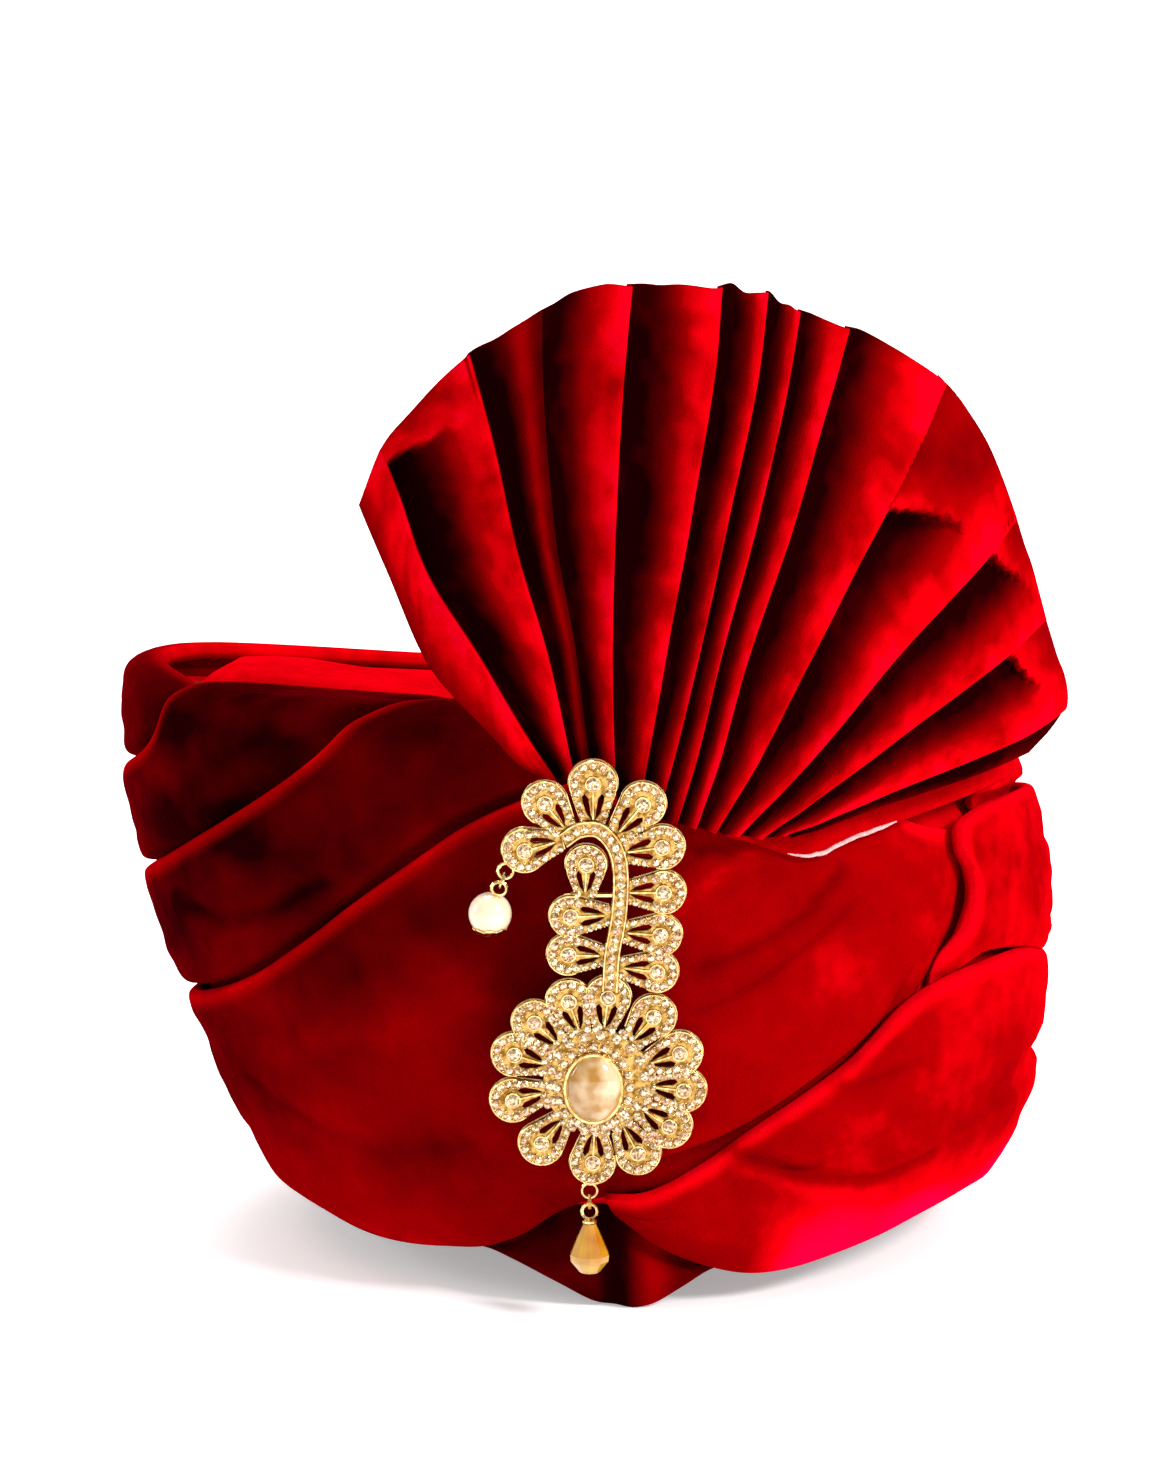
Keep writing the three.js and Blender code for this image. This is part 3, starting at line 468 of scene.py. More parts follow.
MIDDLE_WRAP = table(WRAP_COLUMNS, [
    [45.5, 79.4, 48, 76.6, 0, 0, 0, 0.5, 0],
    [46, 84.6, 50, 77, 0, 0, 0, 0.5, 0],
    [47, 90, 51.5, 76.8, 0.36, 0, 0, 0.5, 0],
    [50, 97, 57, 79.3, 1, 0, 0, 0.5, 0],
    [52.5, 105, 64, 79.3, 1, 0, 0.4, 0.5, 0],
    [52.5, 113, 71, 77.6, 1, 0, 0.8, 0.5, 0],
    [51, 120, 78, 74.8, 1, 0, 1.2, 0.5, 0],
    [53, 128, 85, 71.3, 1, 0, 1.6, 0.5, 0],
    [64, 132, 90, 68.5, 1, 0, 1.6, 0.5, 0],
    [78, 131, 94, 66.5, 1, 0, 1.6, 0.5, 0],
    [92, 126, 98, 66, 1, 0, 1.6, 0.5, 0],
    [130, 112, 130, 62, 1, 0, 1.2, 0.5, 0],
    [180, 100, 180, 52, 1, 0, 1, 0.5, 0],
    [230, 95, 230, 50, 1, 0, 1, 0.5, 0],
    [268, 98, 268, 56, 1, 0, 1, 0.5, 0],
    [288, 107, 290, 63, 1, 0, 1.2, 0.5, 0],
    [302, 118, 306, 73, 1, 0, 1.4, 0.5, 0],
    [314, 131, 318, 86, 1, 0, 1.2, 0.5, 0],
    [323, 144.5, 327, 98, 1, 0, 1, 0.5, 0],
    [330, 160, 335, 111, 1, 0, 0.8, 0.5, 0],
    [337, 172, 342, 122, 1, 0, 0.6, 0.5, 0],
    [346, 184, 348, 129, 1, 0, 0.4, 0.5, 0],
    [358, 187, 358, 137, 0.3, 0, 0, 0.5, 0],
])

FRONT_WRAP = table(WRAP_COLUMNS, [
    [189, 61, 189, 2, 1, 1, 1.4, 0.5, 0],
    [230, 58, 230, 2, 1, 1, 1.6, 0.5, 0],
    [268, 64, 268, 7, 1, 1, 1.8, 0.5, 0],
    [290, 71, 292, 10, 1, 1, 2, 0.5, 0],
    [307, 82, 310, 10, 1, 1, 2.2, 0.5, 0],
    [318, 94, 320, 11, 1, 1, 2.2, 0.5, 0],
    [327, 107, 329, 13, 1, 1, 2, 0.5, 0],
    [335, 119, 336, 15, 1, 1, 1.8, 0.5, 0],
    [342, 130, 343, 20, 1, 1, 1.6, 0.5, 0],
    [349, 138, 349, 27, 1, 1, 1.2, 0.5, 0],
    [355, 143, 354.5, 31, 1, 0.9, 1, 0.5, 0],
    [359, 144, 359, 31.5, 1, 0, 1, 0.5, 0],
    [364, 145, 364, 33, 1, 0, 1, 0.6, 0.6],
    [374, 146, 374, 40, 1, 0, 1, 0.58, 1.4],
    [384, 145, 384, 51, 0.95, 0, 1.2, 0.5, 1.6],
    [394, 143, 394, 63, 0.75, 0, 1, 0.4, 0.8],
    [404, 130, 401, 76, 0.15, 0, 0.4, 0.5, 0],
    [416, 124, 411, 98, 0, 0, 0, 0.5, 0],
])

LOWER_WRAP = table(WRAP_COLUMNS, [
    [-4, 33, -2.5, 26, 0.8, 1, 0, 0.5, 0],
    [2, 34, 4, 17.5, 1, 1, 0.4, 0.5, 0],
    [9, 41, 12, 11.5, 1, 1, 1.2, 0.4, 0],
    [16, 50, 20, 8, 1, 1, 1.8, 0.3, 0.6],
    [23, 58, 28, 7.5, 1, 1, 2, 0.45, 1.6],
    [30.5, 67, 37, 9, 1, 1, 2, 0.58, 2],
    [38.5, 79, 46, 10.5, 1, 1, 2, 0.66, 2],
    [46, 84, 56, 12, 1, 1, 2, 0.66, 2],
    [56, 86, 66, 12, 1, 1, 2, 0.62, 2],
    [70, 84, 77, 9, 1, 1, 2, 0.55, 2],
    [90, 75, 92, 5, 1, 1, 1.8, 0.42, 1.8],
    [130, 70, 130, 2, 1, 1, 1.6, 0.5, 1.6],
    [160, 64, 160, 2, 1, 1, 1.4, 0.6, 1],
    [188.5, 61, 188.5, 2, 1, 1, 1.4, 0.7, 0],
])


def wrap_outline(long, row):
    """One section's face and back, as distances below the fold edge and offsets"""
    lift = min(1, max(0, row["lift"]))
    lip = min(LIP_WIDTH, 0.3 * long)
    tuck = min(TUCK_WIDTH, 0.36 * long)
    free = long - tuck - 3
    middle = mix(lip, free, row["creaseAt"])
    full = FACE + row["puff"]
    deep = row["crease"]
    face = [
        [0, -0.3],
        [0.9, 1.7],
        [0.4 * lip, LIP_FACE],
        [lip + 2, mix(LIP_FACE, full, 0.6)],
        [mix(lip + 2, middle, 0.55), full],
        [middle - 1.5, full - deep],
        [middle + 1.5, full + 0.3 * deep],
        [mix(middle, free, 0.5), full],
        [free, mix(0.3, full, mix(0.4, 1, row["hem"]))],
        [long - tuck, mix(TUCK_FACE, 0.8 * full, row["hem"])],
        [long, mix(TUCK_FACE - 0.2, -2.4, row["hem"])],
    ]
    raised = 1 if lift > 0 else 0
    back = [
        [long - 0.4, CLOTH_BACK],
        [long - tuck, CLOTH_BACK],
        [mix(free, lip + 4, 0.5), CLOTH_BACK],
        [lip + 4, CLOTH_BACK],
        [lip + 1.6, mix(CLOTH_BACK, LIP_BACK, raised)],
        [0.9, mix(CLOTH_BACK + 0.3, LIP_BACK + 0.4, raised)],
    ]

    def settled(offset):
        return mix(TUCK_FACE, offset, lift) if offset > TUCK_FACE else offset

    front = [[down, settled(offset)] for down, offset in face]
    rear = [[down, min(offset, settled(offset + 2.2) - 1.8)] for down, offset in back]
    return front, rear


# Painted light by angle, near the rim and near the foot: lighter on the right, darker on the left
LIGHT_BY_ANGLE = table("angle high low", [
    [-180, 0.5, 0.5],
    [-125, 0.5, 0.5],
    [-98, 0.4, 0.4],
    [-84, 0.16, 0.2],
    [-70, 0.06, 0.2],
    [-40, 0.1, 0.42],
    [-15, 0.26, 0.42],
    [0, 0.4, 0.5],
    [14, 0.62, 0.66],
    [30, 0.7, 0.72],
    [60, 0.78, 0.74],
    [80, 0.84, 0.9],
    [110, 0.7, 0.7],
    [180, 0.5, 0.5],
])


def painted_light_at(points):
    """Painted light at points of the wound cloth, with random streaks of pile tone"""
    angle = np.degrees(np.arctan2(points[..., 0], -points[..., 1]))
    high = np.interp(angle, LIGHT_BY_ANGLE["angle"], LIGHT_BY_ANGLE["high"])
    low = np.interp(angle, LIGHT_BY_ANGLE["angle"], LIGHT_BY_ANGLE["low"])
    share = mix(low, high, ease(45, 120, points[..., 2]))
    # Painted sheen near the foot, towards the lower left and more towards the lower right
    foot = ease(38, 8, points[..., 2])
    left = foot * ease(-95, -75, angle) * ease(-5, -30, angle) * 0.35
    right = foot * ease(14, 24, angle) * ease(100, 75, angle) * 0.75
    streaks = lumps(points / [26, 26, 15], 21) + 0.5 * lumps(points / [9, 9, 7], 22)
    return share + left + right + 0.12 * streaks


# Creases: depth, below nought for a groove, half width, painted light (a painted highlight above nought,
# painted shade below), then points by angle and girth
CREASES = {
    "front_wrap": [
        (0.8, 2.6, 0.2, [[365, 107.9], [367.4, 112.8], [371.5, 118.9], [375.8, 123.9]]),
        (-1.7, 2.2, -0.22, [
            [368.7, 94.1], [371.3, 96.1], [375.4, 98.3], [379.5, 101.7], [383.2, 106.4], [386.3, 112.5],
            [388.8, 117.4],
        ]),
        (-1.1, 1.8, -0.15, [[364.2, 119.2], [367.6, 122.9], [371.7, 126.2], [375.3, 127.9]]),
        (-0.7, 3, -0.1, [[300, 52], [312, 44], [326, 40], [338, 46]]),
        (0.7, 3.5, 0.1, [[318, 70], [330, 74], [342, 86]]),
    ],
    "lower_wrap": [
        (-1.0, 1.6, -0.15, [[27.1, 61.4], [30.2, 59.8], [35, 61.6], [41.2, 63]]),
        (-1.8, 1.9, -0.25, [
            [12, 46.2], [13.9, 44.9], [17.5, 41.3], [23.7, 36.9], [30.4, 33.8], [35.9, 32.5], [46, 36],
        ]),
        (1.0, 2.4, 0.2, [[14, 41], [18.5, 37.5], [24.5, 33], [31, 29.8], [37, 28.5]]),
    ],
    "middle_wrap": [
        (-0.8, 2.6, -0.1, [[296, 100], [305, 97], [316, 103], [324, 112]]),
    ],
}
DEGREE_LONG = 2.0


def creased(name, angle, girth):
    """The creases' lift and painted light at points of a wrap: painted shade along grooves, painted
    highlights along ridges
    """
    lift, painted_shading = 0 * girth, 0 * girth
    for depth, width, painted_brightness, points in CREASES.get(name, []):
        line = np.array(points, float) * [DEGREE_LONG, 1]
        at = np.stack([angle * DEGREE_LONG, girth], -1)
        nearest = np.full(len(girth), 1e9)
        for start, end in zip(line[:-1], line[1:]):
            reach = end - start
            share = np.clip((at - start) @ reach / (reach @ reach), 0, 1)
            nearest = np.minimum(nearest, np.linalg.norm(at - start - share[:, None] * reach, axis=-1))
        near = np.exp(-((nearest / width) ** 2))
        lift, painted_shading = lift + depth * near, painted_shading + painted_brightness * near
    return lift, painted_shading


FACE_STEPS = [4, 4, 5, 10, 5, 3, 8, 10, 6, 4]
BACK_STEPS = [10, 14, 14, 10, 11]
WRAP_STEP = 2.3
SWELL = 0.9
SWELL_LONG = 34
SWELL_WIDE = 15
MEANDER = 0.8
MEANDER_LONG = 26
CLOTH_LIGHT_MOST = 1.03


def wrap_piece(name, rows, seed):
    keys = WRAP_COLUMNS.split()
    order = np.arange(len(rows["edge"]), dtype=float)
    edge = body_point(rows["edge"], rows["edgeGirth"])
    foot = body_point(rows["tuck"], rows["tuckGirth"])
    span = np.maximum(
        np.linalg.norm(np.diff(edge, axis=0), axis=-1), np.linalg.norm(np.diff(foot, axis=0), axis=-1)
    )
    counts = np.ceil(span / WRAP_STEP).astype(int)
    places = [i + k / steps for i, steps in enumerate(counts) for k in range(steps)]
    places.append(len(order) - 1.0)
    columns = {key: curve(order, rows[key], places) for key in keys}
    rings, lip_highlights, crease_painted_shading = [], [], []
    along = 0.0
    before = None
    for i in range(len(places)):
        row = {key: columns[key][i] for key in keys}
        shares = np.linspace(0, 1, 7)

        def across(share):
            return mix(row["edge"], row["tuck"], share), mix(row["edgeGirth"], row["tuckGirth"], share)

        line = body_point(*across(shares))
        long = run(line)[-1]
        along += 0 if before is None else np.linalg.norm(line[0] - before)
        before = line[0]
        front, rear = wrap_outline(long, row)
        face = smooth_line(front, FACE_STEPS)
        back = smooth_line(rear, BACK_STEPS)
        down, offset = face[:, 0], face[:, 1]
        where = np.stack([0 * down + along / SWELL_LONG, down / SWELL_WIDE, 0 * down], -1)
        free = ease(2, 12, down) * ease(2, 14, long - TUCK_WIDTH - down)
        swell = SWELL * lumps(where, seed) + SWELL / 2 * lumps(where * [1.4, 3.2, 1], seed + 1)
        offset = offset + swell * free * ease(0, 8, along) * min(1, max(0, row["lift"]))
        wander = lumps(np.array([along / MEANDER_LONG, 0.5, 0.5]), seed + 2)
        down = down + MEANDER * wander * (1 - ease(0, 14, down)) * ease(6, 20, along)
        lift, painted_shading = creased(name, *across(down / long))
        offset = offset + lift * free
        whole = np.concatenate([np.stack([down, offset], -1), back])
        rings.append(offset_point(*across(whole[:, 0] / long), whole[:, 1]))
        # Painted highlight along each fold lip
        lip = 1 - ease(0.8, 6, face[:, 0])
        lip_highlights.append(np.concatenate([lip, np.zeros(len(back))]))
        crease_painted_shading.append(np.concatenate([painted_shading, np.zeros(len(back))]))
    rings = np.array(rings)
    # Painted light from the side, painted highlights on lips and crease ridges, painted shade in crease
    # grooves, capped so that little of it becomes painted pink glint
    nap = painted_light_at(rings)
    lit = nap + np.array(crease_painted_shading) + np.array(lip_highlights) * (0.66 - 0.35 * nap)
    nap = np.clip(lit, 0, np.maximum(CLOTH_LIGHT_MOST, np.minimum(nap, 1.4)))
    piece = tube(name + "_cloth", rings, [VELVET], [("nap", nap)])
    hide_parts(name)
    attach(piece, "root")


wrap_piece("rim_wrap", RIM_WRAP, 10)
wrap_piece("upper_wrap", UPPER_WRAP, 20)
wrap_piece("middle_wrap", MIDDLE_WRAP, 30)
wrap_piece("front_wrap", FRONT_WRAP, 40)
wrap_piece("lower_wrap", LOWER_WRAP, 50)


# The crown under the wraps, with its lining
BAND_TOP = 27.0
BAND_FOOT_IN = 1.8
BAND_FOOT_OUT = -5.4
BAND_LOW_OUT = -3.2
BAND_HIGH_OUT = -2.8
TOP_OUT = -9.5
TOP_FLUSH = 1.3
TOP_REAR = 174.0
TOP_FRONT = 197.0
TOP_RISE = 14
TOP_LUMPS = 1.4
DOME_MIDDLE = 60.0  # the lining lies straight inward of the shell, toward this height


def crown_piece():
    angles = np.arange(0, 360, 3.0)
    girths = np.concatenate([[BAND_TOP + 0.4], np.arange(32, 224, 6.0), [226, 240, 250]])
    thick = CROWN_OUT - CROWN_IN
    grid_angle, grid_girth = np.meshgrid(angles, girths)
    sink = mix(CROWN_OUT, TOP_OUT, ease(116, 142, grid_girth))
    start = mix(TOP_FRONT, TOP_REAR, ease(-0.7, -0.1, -np.cos(np.radians(grid_angle))))
    sink = mix(sink, TOP_FLUSH, ease(0, 1, (grid_girth - start) / TOP_RISE))
    outer = offset_point(grid_angle, grid_girth, sink)
    flat = np.stack([grid_angle / 14, grid_girth / 16, 0 * grid_girth], -1)
    outer[..., 2] += TOP_LUMPS * lumps(flat, 5) * ease(165, 180, grid_girth) * ease(250, 225, grid_girth)
    inward = outer - np.array([0, 0, DOME_MIDDLE])
    inner = outer - thick * inward / np.linalg.norm(inward, axis=-1, keepdims=True)
    rows, size = outer.shape[:2]
    points = np.concatenate([
        outer.reshape(-1, 3), inner[::-1].reshape(-1, 3), [[0, 0, outer[-1, :, 2].mean()]],
        [[0, 0, inner[-1, :, 2].mean()]],
    ])
    quads = ring_faces(2 * rows, size, True).reshape(-1, size, 4)
    quads = np.delete(quads, rows - 1, axis=0).reshape(-1, 4)
    top = tip_faces((rows - 1) * size, size, len(points) - 2)
    under = tip_faces(rows * size, size, len(points) - 1)[:, [1, 0, 2]]
    faces = quads.tolist() + top.tolist() + under.tolist()
    inside = [int(min(face) >= rows * size or face[2] == len(points) - 1) for face in faces]
    if enclosed(points, quads) < 0:
        faces = [face[::-1] for face in faces]
    # The whole crown takes full painted light: a painted sheen on its top
    piece = mesh_piece(
        "crown_cap", points, faces, [VELVET, LINING], [("nap", np.full(len(points), 1.0))], slots=inside
    )
    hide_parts("crown")
    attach(piece, "root")


crown_piece()

BAND = table("angle low shown face", [
    [-180, 0, 1, 0],
    [-120, 0, 1, 0],
    [-90, 5, 6, 0],
    [-60, 9.5, 10, 0],
    [-40, 12, 13, 0],
    [-27, 13, 14, 0],
    [-21, 11, 14.5, 0.5],
    [-13, 6, 22, 1],
    [-7, 1.5, 27.5, 1],
    [-3, 0.2, 27, 0.5],
    [0, 0, 22, 1.2],
    [4, 1.2, 15.5, 1.2],
    [9, 5, 12, 0.8],
    [15, 9, 10, 0],
    [23, 10.5, 11.5, 0],
    [40, 11, 12, 0],
    [60, 12, 13, 0],
    [90, 4, 5, 0],
    [120, 0, 1, 0],
    [180, 0, 1, 0],
])


def band_piece():
    angles = np.concatenate([np.arange(-180, -30, 3.0), np.arange(-30, 20, 1.0), np.arange(20, 180, 3.0)])
    low = np.maximum(0, curve(BAND["angle"], BAND["low"], angles))
    shown = np.maximum(low + 1, curve(BAND["angle"], BAND["shown"], angles))
    face = np.clip(curve(BAND["angle"], BAND["face"], angles), 0, 1.25)

    def level(offset):
        points = offset_point(angles, low, offset)
        points[:, 2] = body_point(angles, low)[:, 2]
        return points

    outline = np.stack([
        level(mix(CROWN_OUT - BAND_FOOT_IN, BAND_FOOT_OUT, face)),
        offset_point(angles, mix(low, shown, 0.15), mix(CROWN_OUT, BAND_LOW_OUT, face)),
        offset_point(angles, mix(low, shown, 0.6), mix(CROWN_OUT, BAND_HIGH_OUT, face)),
        offset_point(angles, shown, mix(CROWN_OUT, CROWN_OUT + 0.3, face)),
        offset_point(angles, np.full_like(angles, BAND_TOP), np.full_like(angles, CROWN_OUT)),
    ], 1)
    top = offset_point(angles, np.full_like(angles, BAND_TOP), np.full_like(angles, CROWN_IN))
    foot = level(np.full_like(angles, CROWN_IN - BAND_FOOT_IN))
    rings = []
    for i in range(len(angles)):
        front = smooth_line(outline[i], [5, 5, 5, 4])
        rings.append(np.concatenate([front, np.linspace(top[i], foot[i], len(front))]))
    rings = np.array(rings)
    half = rings.shape[1] // 2
    inside = np.zeros(rings.shape[:2], bool)
    inside[:, half:] = True
    # Painted light of the brow band: dark overall, a painted highlight on the tab's ridge and painted shade
    # in the crease to its left, with random pile tone
    ridge = np.exp(-(((angles - 3.5) / 3) ** 2)) - 0.5 * np.exp(-(((angles + 3) / 2) ** 2))
    nap = np.clip(0.1 + 0.5 * ridge[:, None] + 0.1 * lumps(rings / 8, 31), 0, 1)
    piece = tube("brow_band_cloth", rings, [VELVET, LINING], [("nap", nap)], joined=True, inside=inside)
    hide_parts("brow_band")
    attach(piece, "root")


band_piece()


# The fan: each row is one fold line from the gathered foot to the rim
FAN_THICK = 3.0
FAN_RADIUS = 119.7
FAN_FOOT_RADIUS = 115.1
FAN_LEAN = 0.15
FAN_LEAN_FROM = 150.0
FAN_CLEAR = 5.2
PLEATS = table("footX footZ midX midZ rimX rimZ rise", [
    [-22, 143.5, -48, 166, -72, 211, 0],
    [-20, 144.5, -49, 190, -66, 227, 9],
    [-17, 144, -38, 193, -56, 240, 1],
    [-14.5, 142, -28, 196, -43, 253, 11],
    [-12, 141, -23.5, 199, -33, 258.5, 1],
    [-9.5, 140, -19, 201, -24, 264.5, 2],
    [-7, 139, -13, 203, -14, 269, 1],
    [-4.5, 138, -5.5, 203, -1, 272, 11],
    [-2, 137, 3, 203, 9, 271.5, 1],
    [1, 136, 11.5, 203, 22, 271, 11],
    [3.5, 135, 17, 203, 28.5, 269, 2],
    [6, 134.5, 22, 203, 34, 268.5, 10],
    [8.5, 134, 26, 203, 38, 265.5, 2],
    [11, 133.5, 30, 203, 42.5, 264.5, 10],
    [13.5, 133, 33.5, 202, 47.5, 263, 2],
    [16, 132.5, 37.5, 201, 55.5, 259.5, 11],
    [18.5, 132, 44, 197, 64, 256, 1],
    [21, 131.5, 52.5, 190, 81, 244, 13],
    [24, 131, 60, 182, 92, 229, 1],
    [27, 130.5, 66, 173, 102, 206, 13],
    [30, 130, 69, 164, 107.5, 191, 1],
    [33, 129.5, 70, 156, 112, 176, 12],
    [36, 129.5, 72, 149, 116, 164, 1],
    [39, 130, 72, 142, 118, 152.5, 9],
    [41, 129, 70, 137, 106, 143, 1],
])
PLEAT_STEPS = 26
FAN_SHARES = np.linspace(0, 1, 60)
RAGGED_RIM = 0.9
CREST_WAVE = 18
FOOT_RISE = 3
FAN_LUMPS = 1.1
FAN_DEEPEST = 30  # keeps the fan's outer edges in front of the head's axis
FAN_LIGHT_MOST = 1.06
# A pleat from its crest to the next on its right: how far across, how high, and its painted light, a
# painted highlight on the crest and painted shade in the valley
KNIFE = table("turn across lift nap", [
    [0, 0, 1, 1.06],
    [0.05, 0.02, 0.97, 0.92],
    [0.12, 0.012, 0.72, 0.3],
    [0.2, -0.035, 0.35, 0.05],
    [0.28, -0.03, 0.06, 0],
    [0.36, 0.08, 0, 0],
    [0.5, 0.28, 0.06, 0.02],
    [0.65, 0.48, 0.25, 0.2],
    [0.78, 0.66, 0.6, 0.66],
    [0.88, 0.82, 0.86, 0.92],
    [0.95, 0.94, 0.97, 0.98],
    [1, 1, 1, 1.06],
])
# Hoods of turned cloth: the left crest's row, where up it and the next crest they start, their height
HOODS = table("crest left right high", [
    [1, 0.93, 0.86, 1],
    [17, 0.69, 0.86, 1],
    [19, 0.86, 1, 0.8],
    [21, 0.84, 0.95, 0.8],
])


def fan_surface():
    """Rows of points up the fan's face and back, with the face's lift and painted light"""
    count = len(PLEATS["footX"])
    order = np.arange(count, dtype=float)
    turns = np.linspace(0, 1, PLEAT_STEPS + 1)[:-1]
    crests = np.arange(-1, count, 2)[:, None]
    across = (crests + 2 * curve(KNIFE["turn"], KNIFE["across"], turns)).ravel()
    lift = np.tile(np.clip(curve(KNIFE["turn"], KNIFE["lift"], turns), 0, 1), len(crests))
    painted_brightness = np.tile(curve(KNIFE["turn"], KNIFE["nap"], turns), len(crests))
    kept = (across >= 0) & (across <= count - 1)
    along, lift, painted_brightness = across[kept], lift[kept], painted_brightness[kept]
    column = {key: curve(order, PLEATS[key], along) for key in PLEATS}
    high = curve(order[1::2], PLEATS["rise"][1::2], along)
    deep = curve(order[::2], PLEATS["rise"][::2], along)
    share = FAN_SHARES[None, :]

    def line(axis):
        foot, middle, rim = (column[part + axis][:, None] for part in ("foot", "mid", "rim"))
        reach = 2 * middle - 0.5 * (foot + rim)
        return (1 - share) ** 2 * foot + 2 * share * (1 - share) * reach + share**2 * rim

    x, z = line("X"), line("Z")
    still = 0 * x
    ragged = lumps(np.stack([along[:, None] * 1.7 + still, still, still + 9], -1), 7)
    z = z + RAGGED_RIM * ease(0.7, 1, share) * ragged
    wavy = 0.35 * lumps(np.stack([along[:, None] / 2 + still, share * 3.5 + still, still + 4], -1), 6)
    x = x + CREST_WAVE * wavy * share * (1.15 - share)
    lift = np.repeat(lift[:, None], len(FAN_SHARES), 1)
    painted_brightness = np.repeat(painted_brightness[:, None], len(FAN_SHARES), 1) * ease(0, 4, high - deep)[:, None]
    for crest, left, right, raised in zip(*HOODS.values()):
        passed = np.clip((along - crest) / 2, 0, 1)
        begins = mix(left, right, passed)[:, None]
        within = ((along > crest) & (along < crest + 2))[:, None]
        turned_over = within * ease(0, 0.022, share - begins)
        lift = np.maximum(lift, raised * turned_over)
        # Painted highlight on each hood, brightest by its lip and fading towards the rim
        painted_shading = turned_over * (0.98 - 0.5 * ease(0.01, 0.16, share - begins))
        painted_brightness = np.maximum(painted_brightness, painted_shading)
    rise = mix(deep[:, None], high[:, None], lift)
    grown = np.minimum(1, share * 1.5)
    stand = mix(FOOT_RISE * lift, rise, grown) * (1 - 0.35 * ease(0.85, 1, share))
    where = np.stack([np.repeat(along[:, None] / 2, len(FAN_SHARES), 1), still + share * 5, still], -1)
    stand = stand + FAN_LUMPS * lumps(where, 3) * grown
    streaks = lumps(where * [2, 2, 1], 12) + lumps(where * [7, 7, 1], 13)
    painted_brightness = np.minimum(painted_brightness + (0.04 + 0.11 * painted_brightness) * streaks, FAN_LIGHT_MOST)
    spread = mix(FAN_FOOT_RADIUS, FAN_RADIUS, ease(0, 0.16, share))
    radius = spread + FAN_CLEAR * ease(2, 26, x) * (1 - ease(150, 175, z))
    reach = np.sqrt(np.maximum(FAN_DEEPEST, radius**2 - x**2))
    lean = FAN_LEAN * np.maximum(0, z - FAN_LEAN_FROM)
    back = np.stack([x, -reach + lean, z], -1)
    front = back - np.maximum(0, stand)[..., None] * [0, 1, 0]
    return front - [0, FAN_THICK, 0], front, painted_brightness


def fan_piece():
    front, back, painted_brightness = fan_surface()
    rings = np.concatenate([front, back[:, ::-1]], 1)
    # The face carries the pleats' painted light; the back takes an even, middling painted light
    nap = np.concatenate([painted_brightness, np.full_like(painted_brightness, 0.4)], 1)
    piece = tube("fan_cloth", rings, [VELVET], [("nap", nap)])
    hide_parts("fan")
    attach(piece, "root")


fan_piece()

# The fan's lowest fold lies along the front wraps to the right
TAIL_BACK = LIP_FACE + 0.5
TAIL = table("angle low high", [
    [12, 127.5, 130],
    [16, 125.5, 131.5],
    [22.5, 121.5, 134],
    [30, 125.5, 139],
    [39.5, 130, 142],
    [51, 134, 146],
    [62, 137, 148],
    [71, 138, 148],
])


TAIL_POINTS = 22
SELVAGE_OUT = 2.4
SELVAGE_THICK = 0.5


def tail_piece():
    angles = np.arange(12, 71, 0.8)
    shares = np.linspace(0, 1, TAIL_POINTS)
    swell = np.interp(shares, [0, 0.06, 0.2, 0.45, 0.8, 1], [0.2, 1.5, 2.1, 2.4, 1.6, 0.7])
    rings = []
    for angle in angles:
        low = curve(TAIL["angle"], TAIL["low"], angle)
        high = curve(TAIL["angle"], TAIL["high"], angle)
        girth = mix(low, high, shares)
        where = np.stack([np.full(len(shares), angle / 9), shares * 2.5, 0 * shares], -1)
        face = offset_point(angle, girth, TAIL_BACK + 1 + swell + 0.5 * lumps(where, 8))
        back = offset_point(angle, girth[::-1], np.full(len(shares), TAIL_BACK))
        rings.append(np.concatenate([face, back]))
    rings = np.array(rings)
    # The tail takes the bright painted light of the lit right side
    nap = np.full(rings.shape[:2], 0.8)
    piece = tube("fan_tail_cloth", rings, [VELVET], [("nap", nap)])
    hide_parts("fan_tail")
    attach(piece, "root")


tail_piece()


def selvage_piece():
    """The pale raw edge along the foot of the tail"""
    angles = np.arange(20, 37.5, 0.5)
    low = curve(TAIL["angle"], TAIL["low"], angles)
    rings = []
    for angle, girth in zip(angles, low):
        frayed = 0.45 * lumps(np.array([angle / 0.8, 0.5, 0.5]), 41)
        thick = SELVAGE_THICK * min(1, 0.3 + (angle - 20) / 6, 0.3 + (37 - angle) / 4)
        turns = np.radians(np.arange(0, 360, 36))
        across = girth + 0.5 + frayed + thick * 1.2 * np.cos(turns)
        depth = TAIL_BACK + SELVAGE_OUT + thick * np.sin(turns)
        rings.append(offset_point(np.full(len(turns), angle), across, depth))
    piece = tube("tail_selvage", np.array(rings), [SELVAGE])
    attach(piece, "root")


selvage_piece()


# The brooch is drawn flat, across and up from the flower's middle, then stood up, its top leaning out
BROOCH = np.array([-10.8, -120.8, 64.7])
BROOCH_TILT = math.radians(95)
PLATE_THICK = 2.2
FLOWER = np.array([1.4, 1.6])
FLOWER_FOOT = 12.5
FLOWER_TURNS = [7, 40, 71, 97, 124, 152, 183, 220, 256, 288, 314, 341]
PETAL_WIDTH = 12.6
PETAL_LONG = 16.4
PETAL_LOWER_TOP = 1.1
PETAL_UPPER_FOOT = 0.9
PETAL_INSET = 0.35
PETAL_WIRE = 0.3
ARC_INSET = 1.75
ARC_STONE = 1.16
ARC_GRAIN = 0.95
SIDE_STONE = 1.0
MAIN_STONE = 1.95
MAIN_RISE = 0.2
MAIN_WIRE = 0.32
STEM_WIRE = 0.42
DISC_RADIUS = 14.1
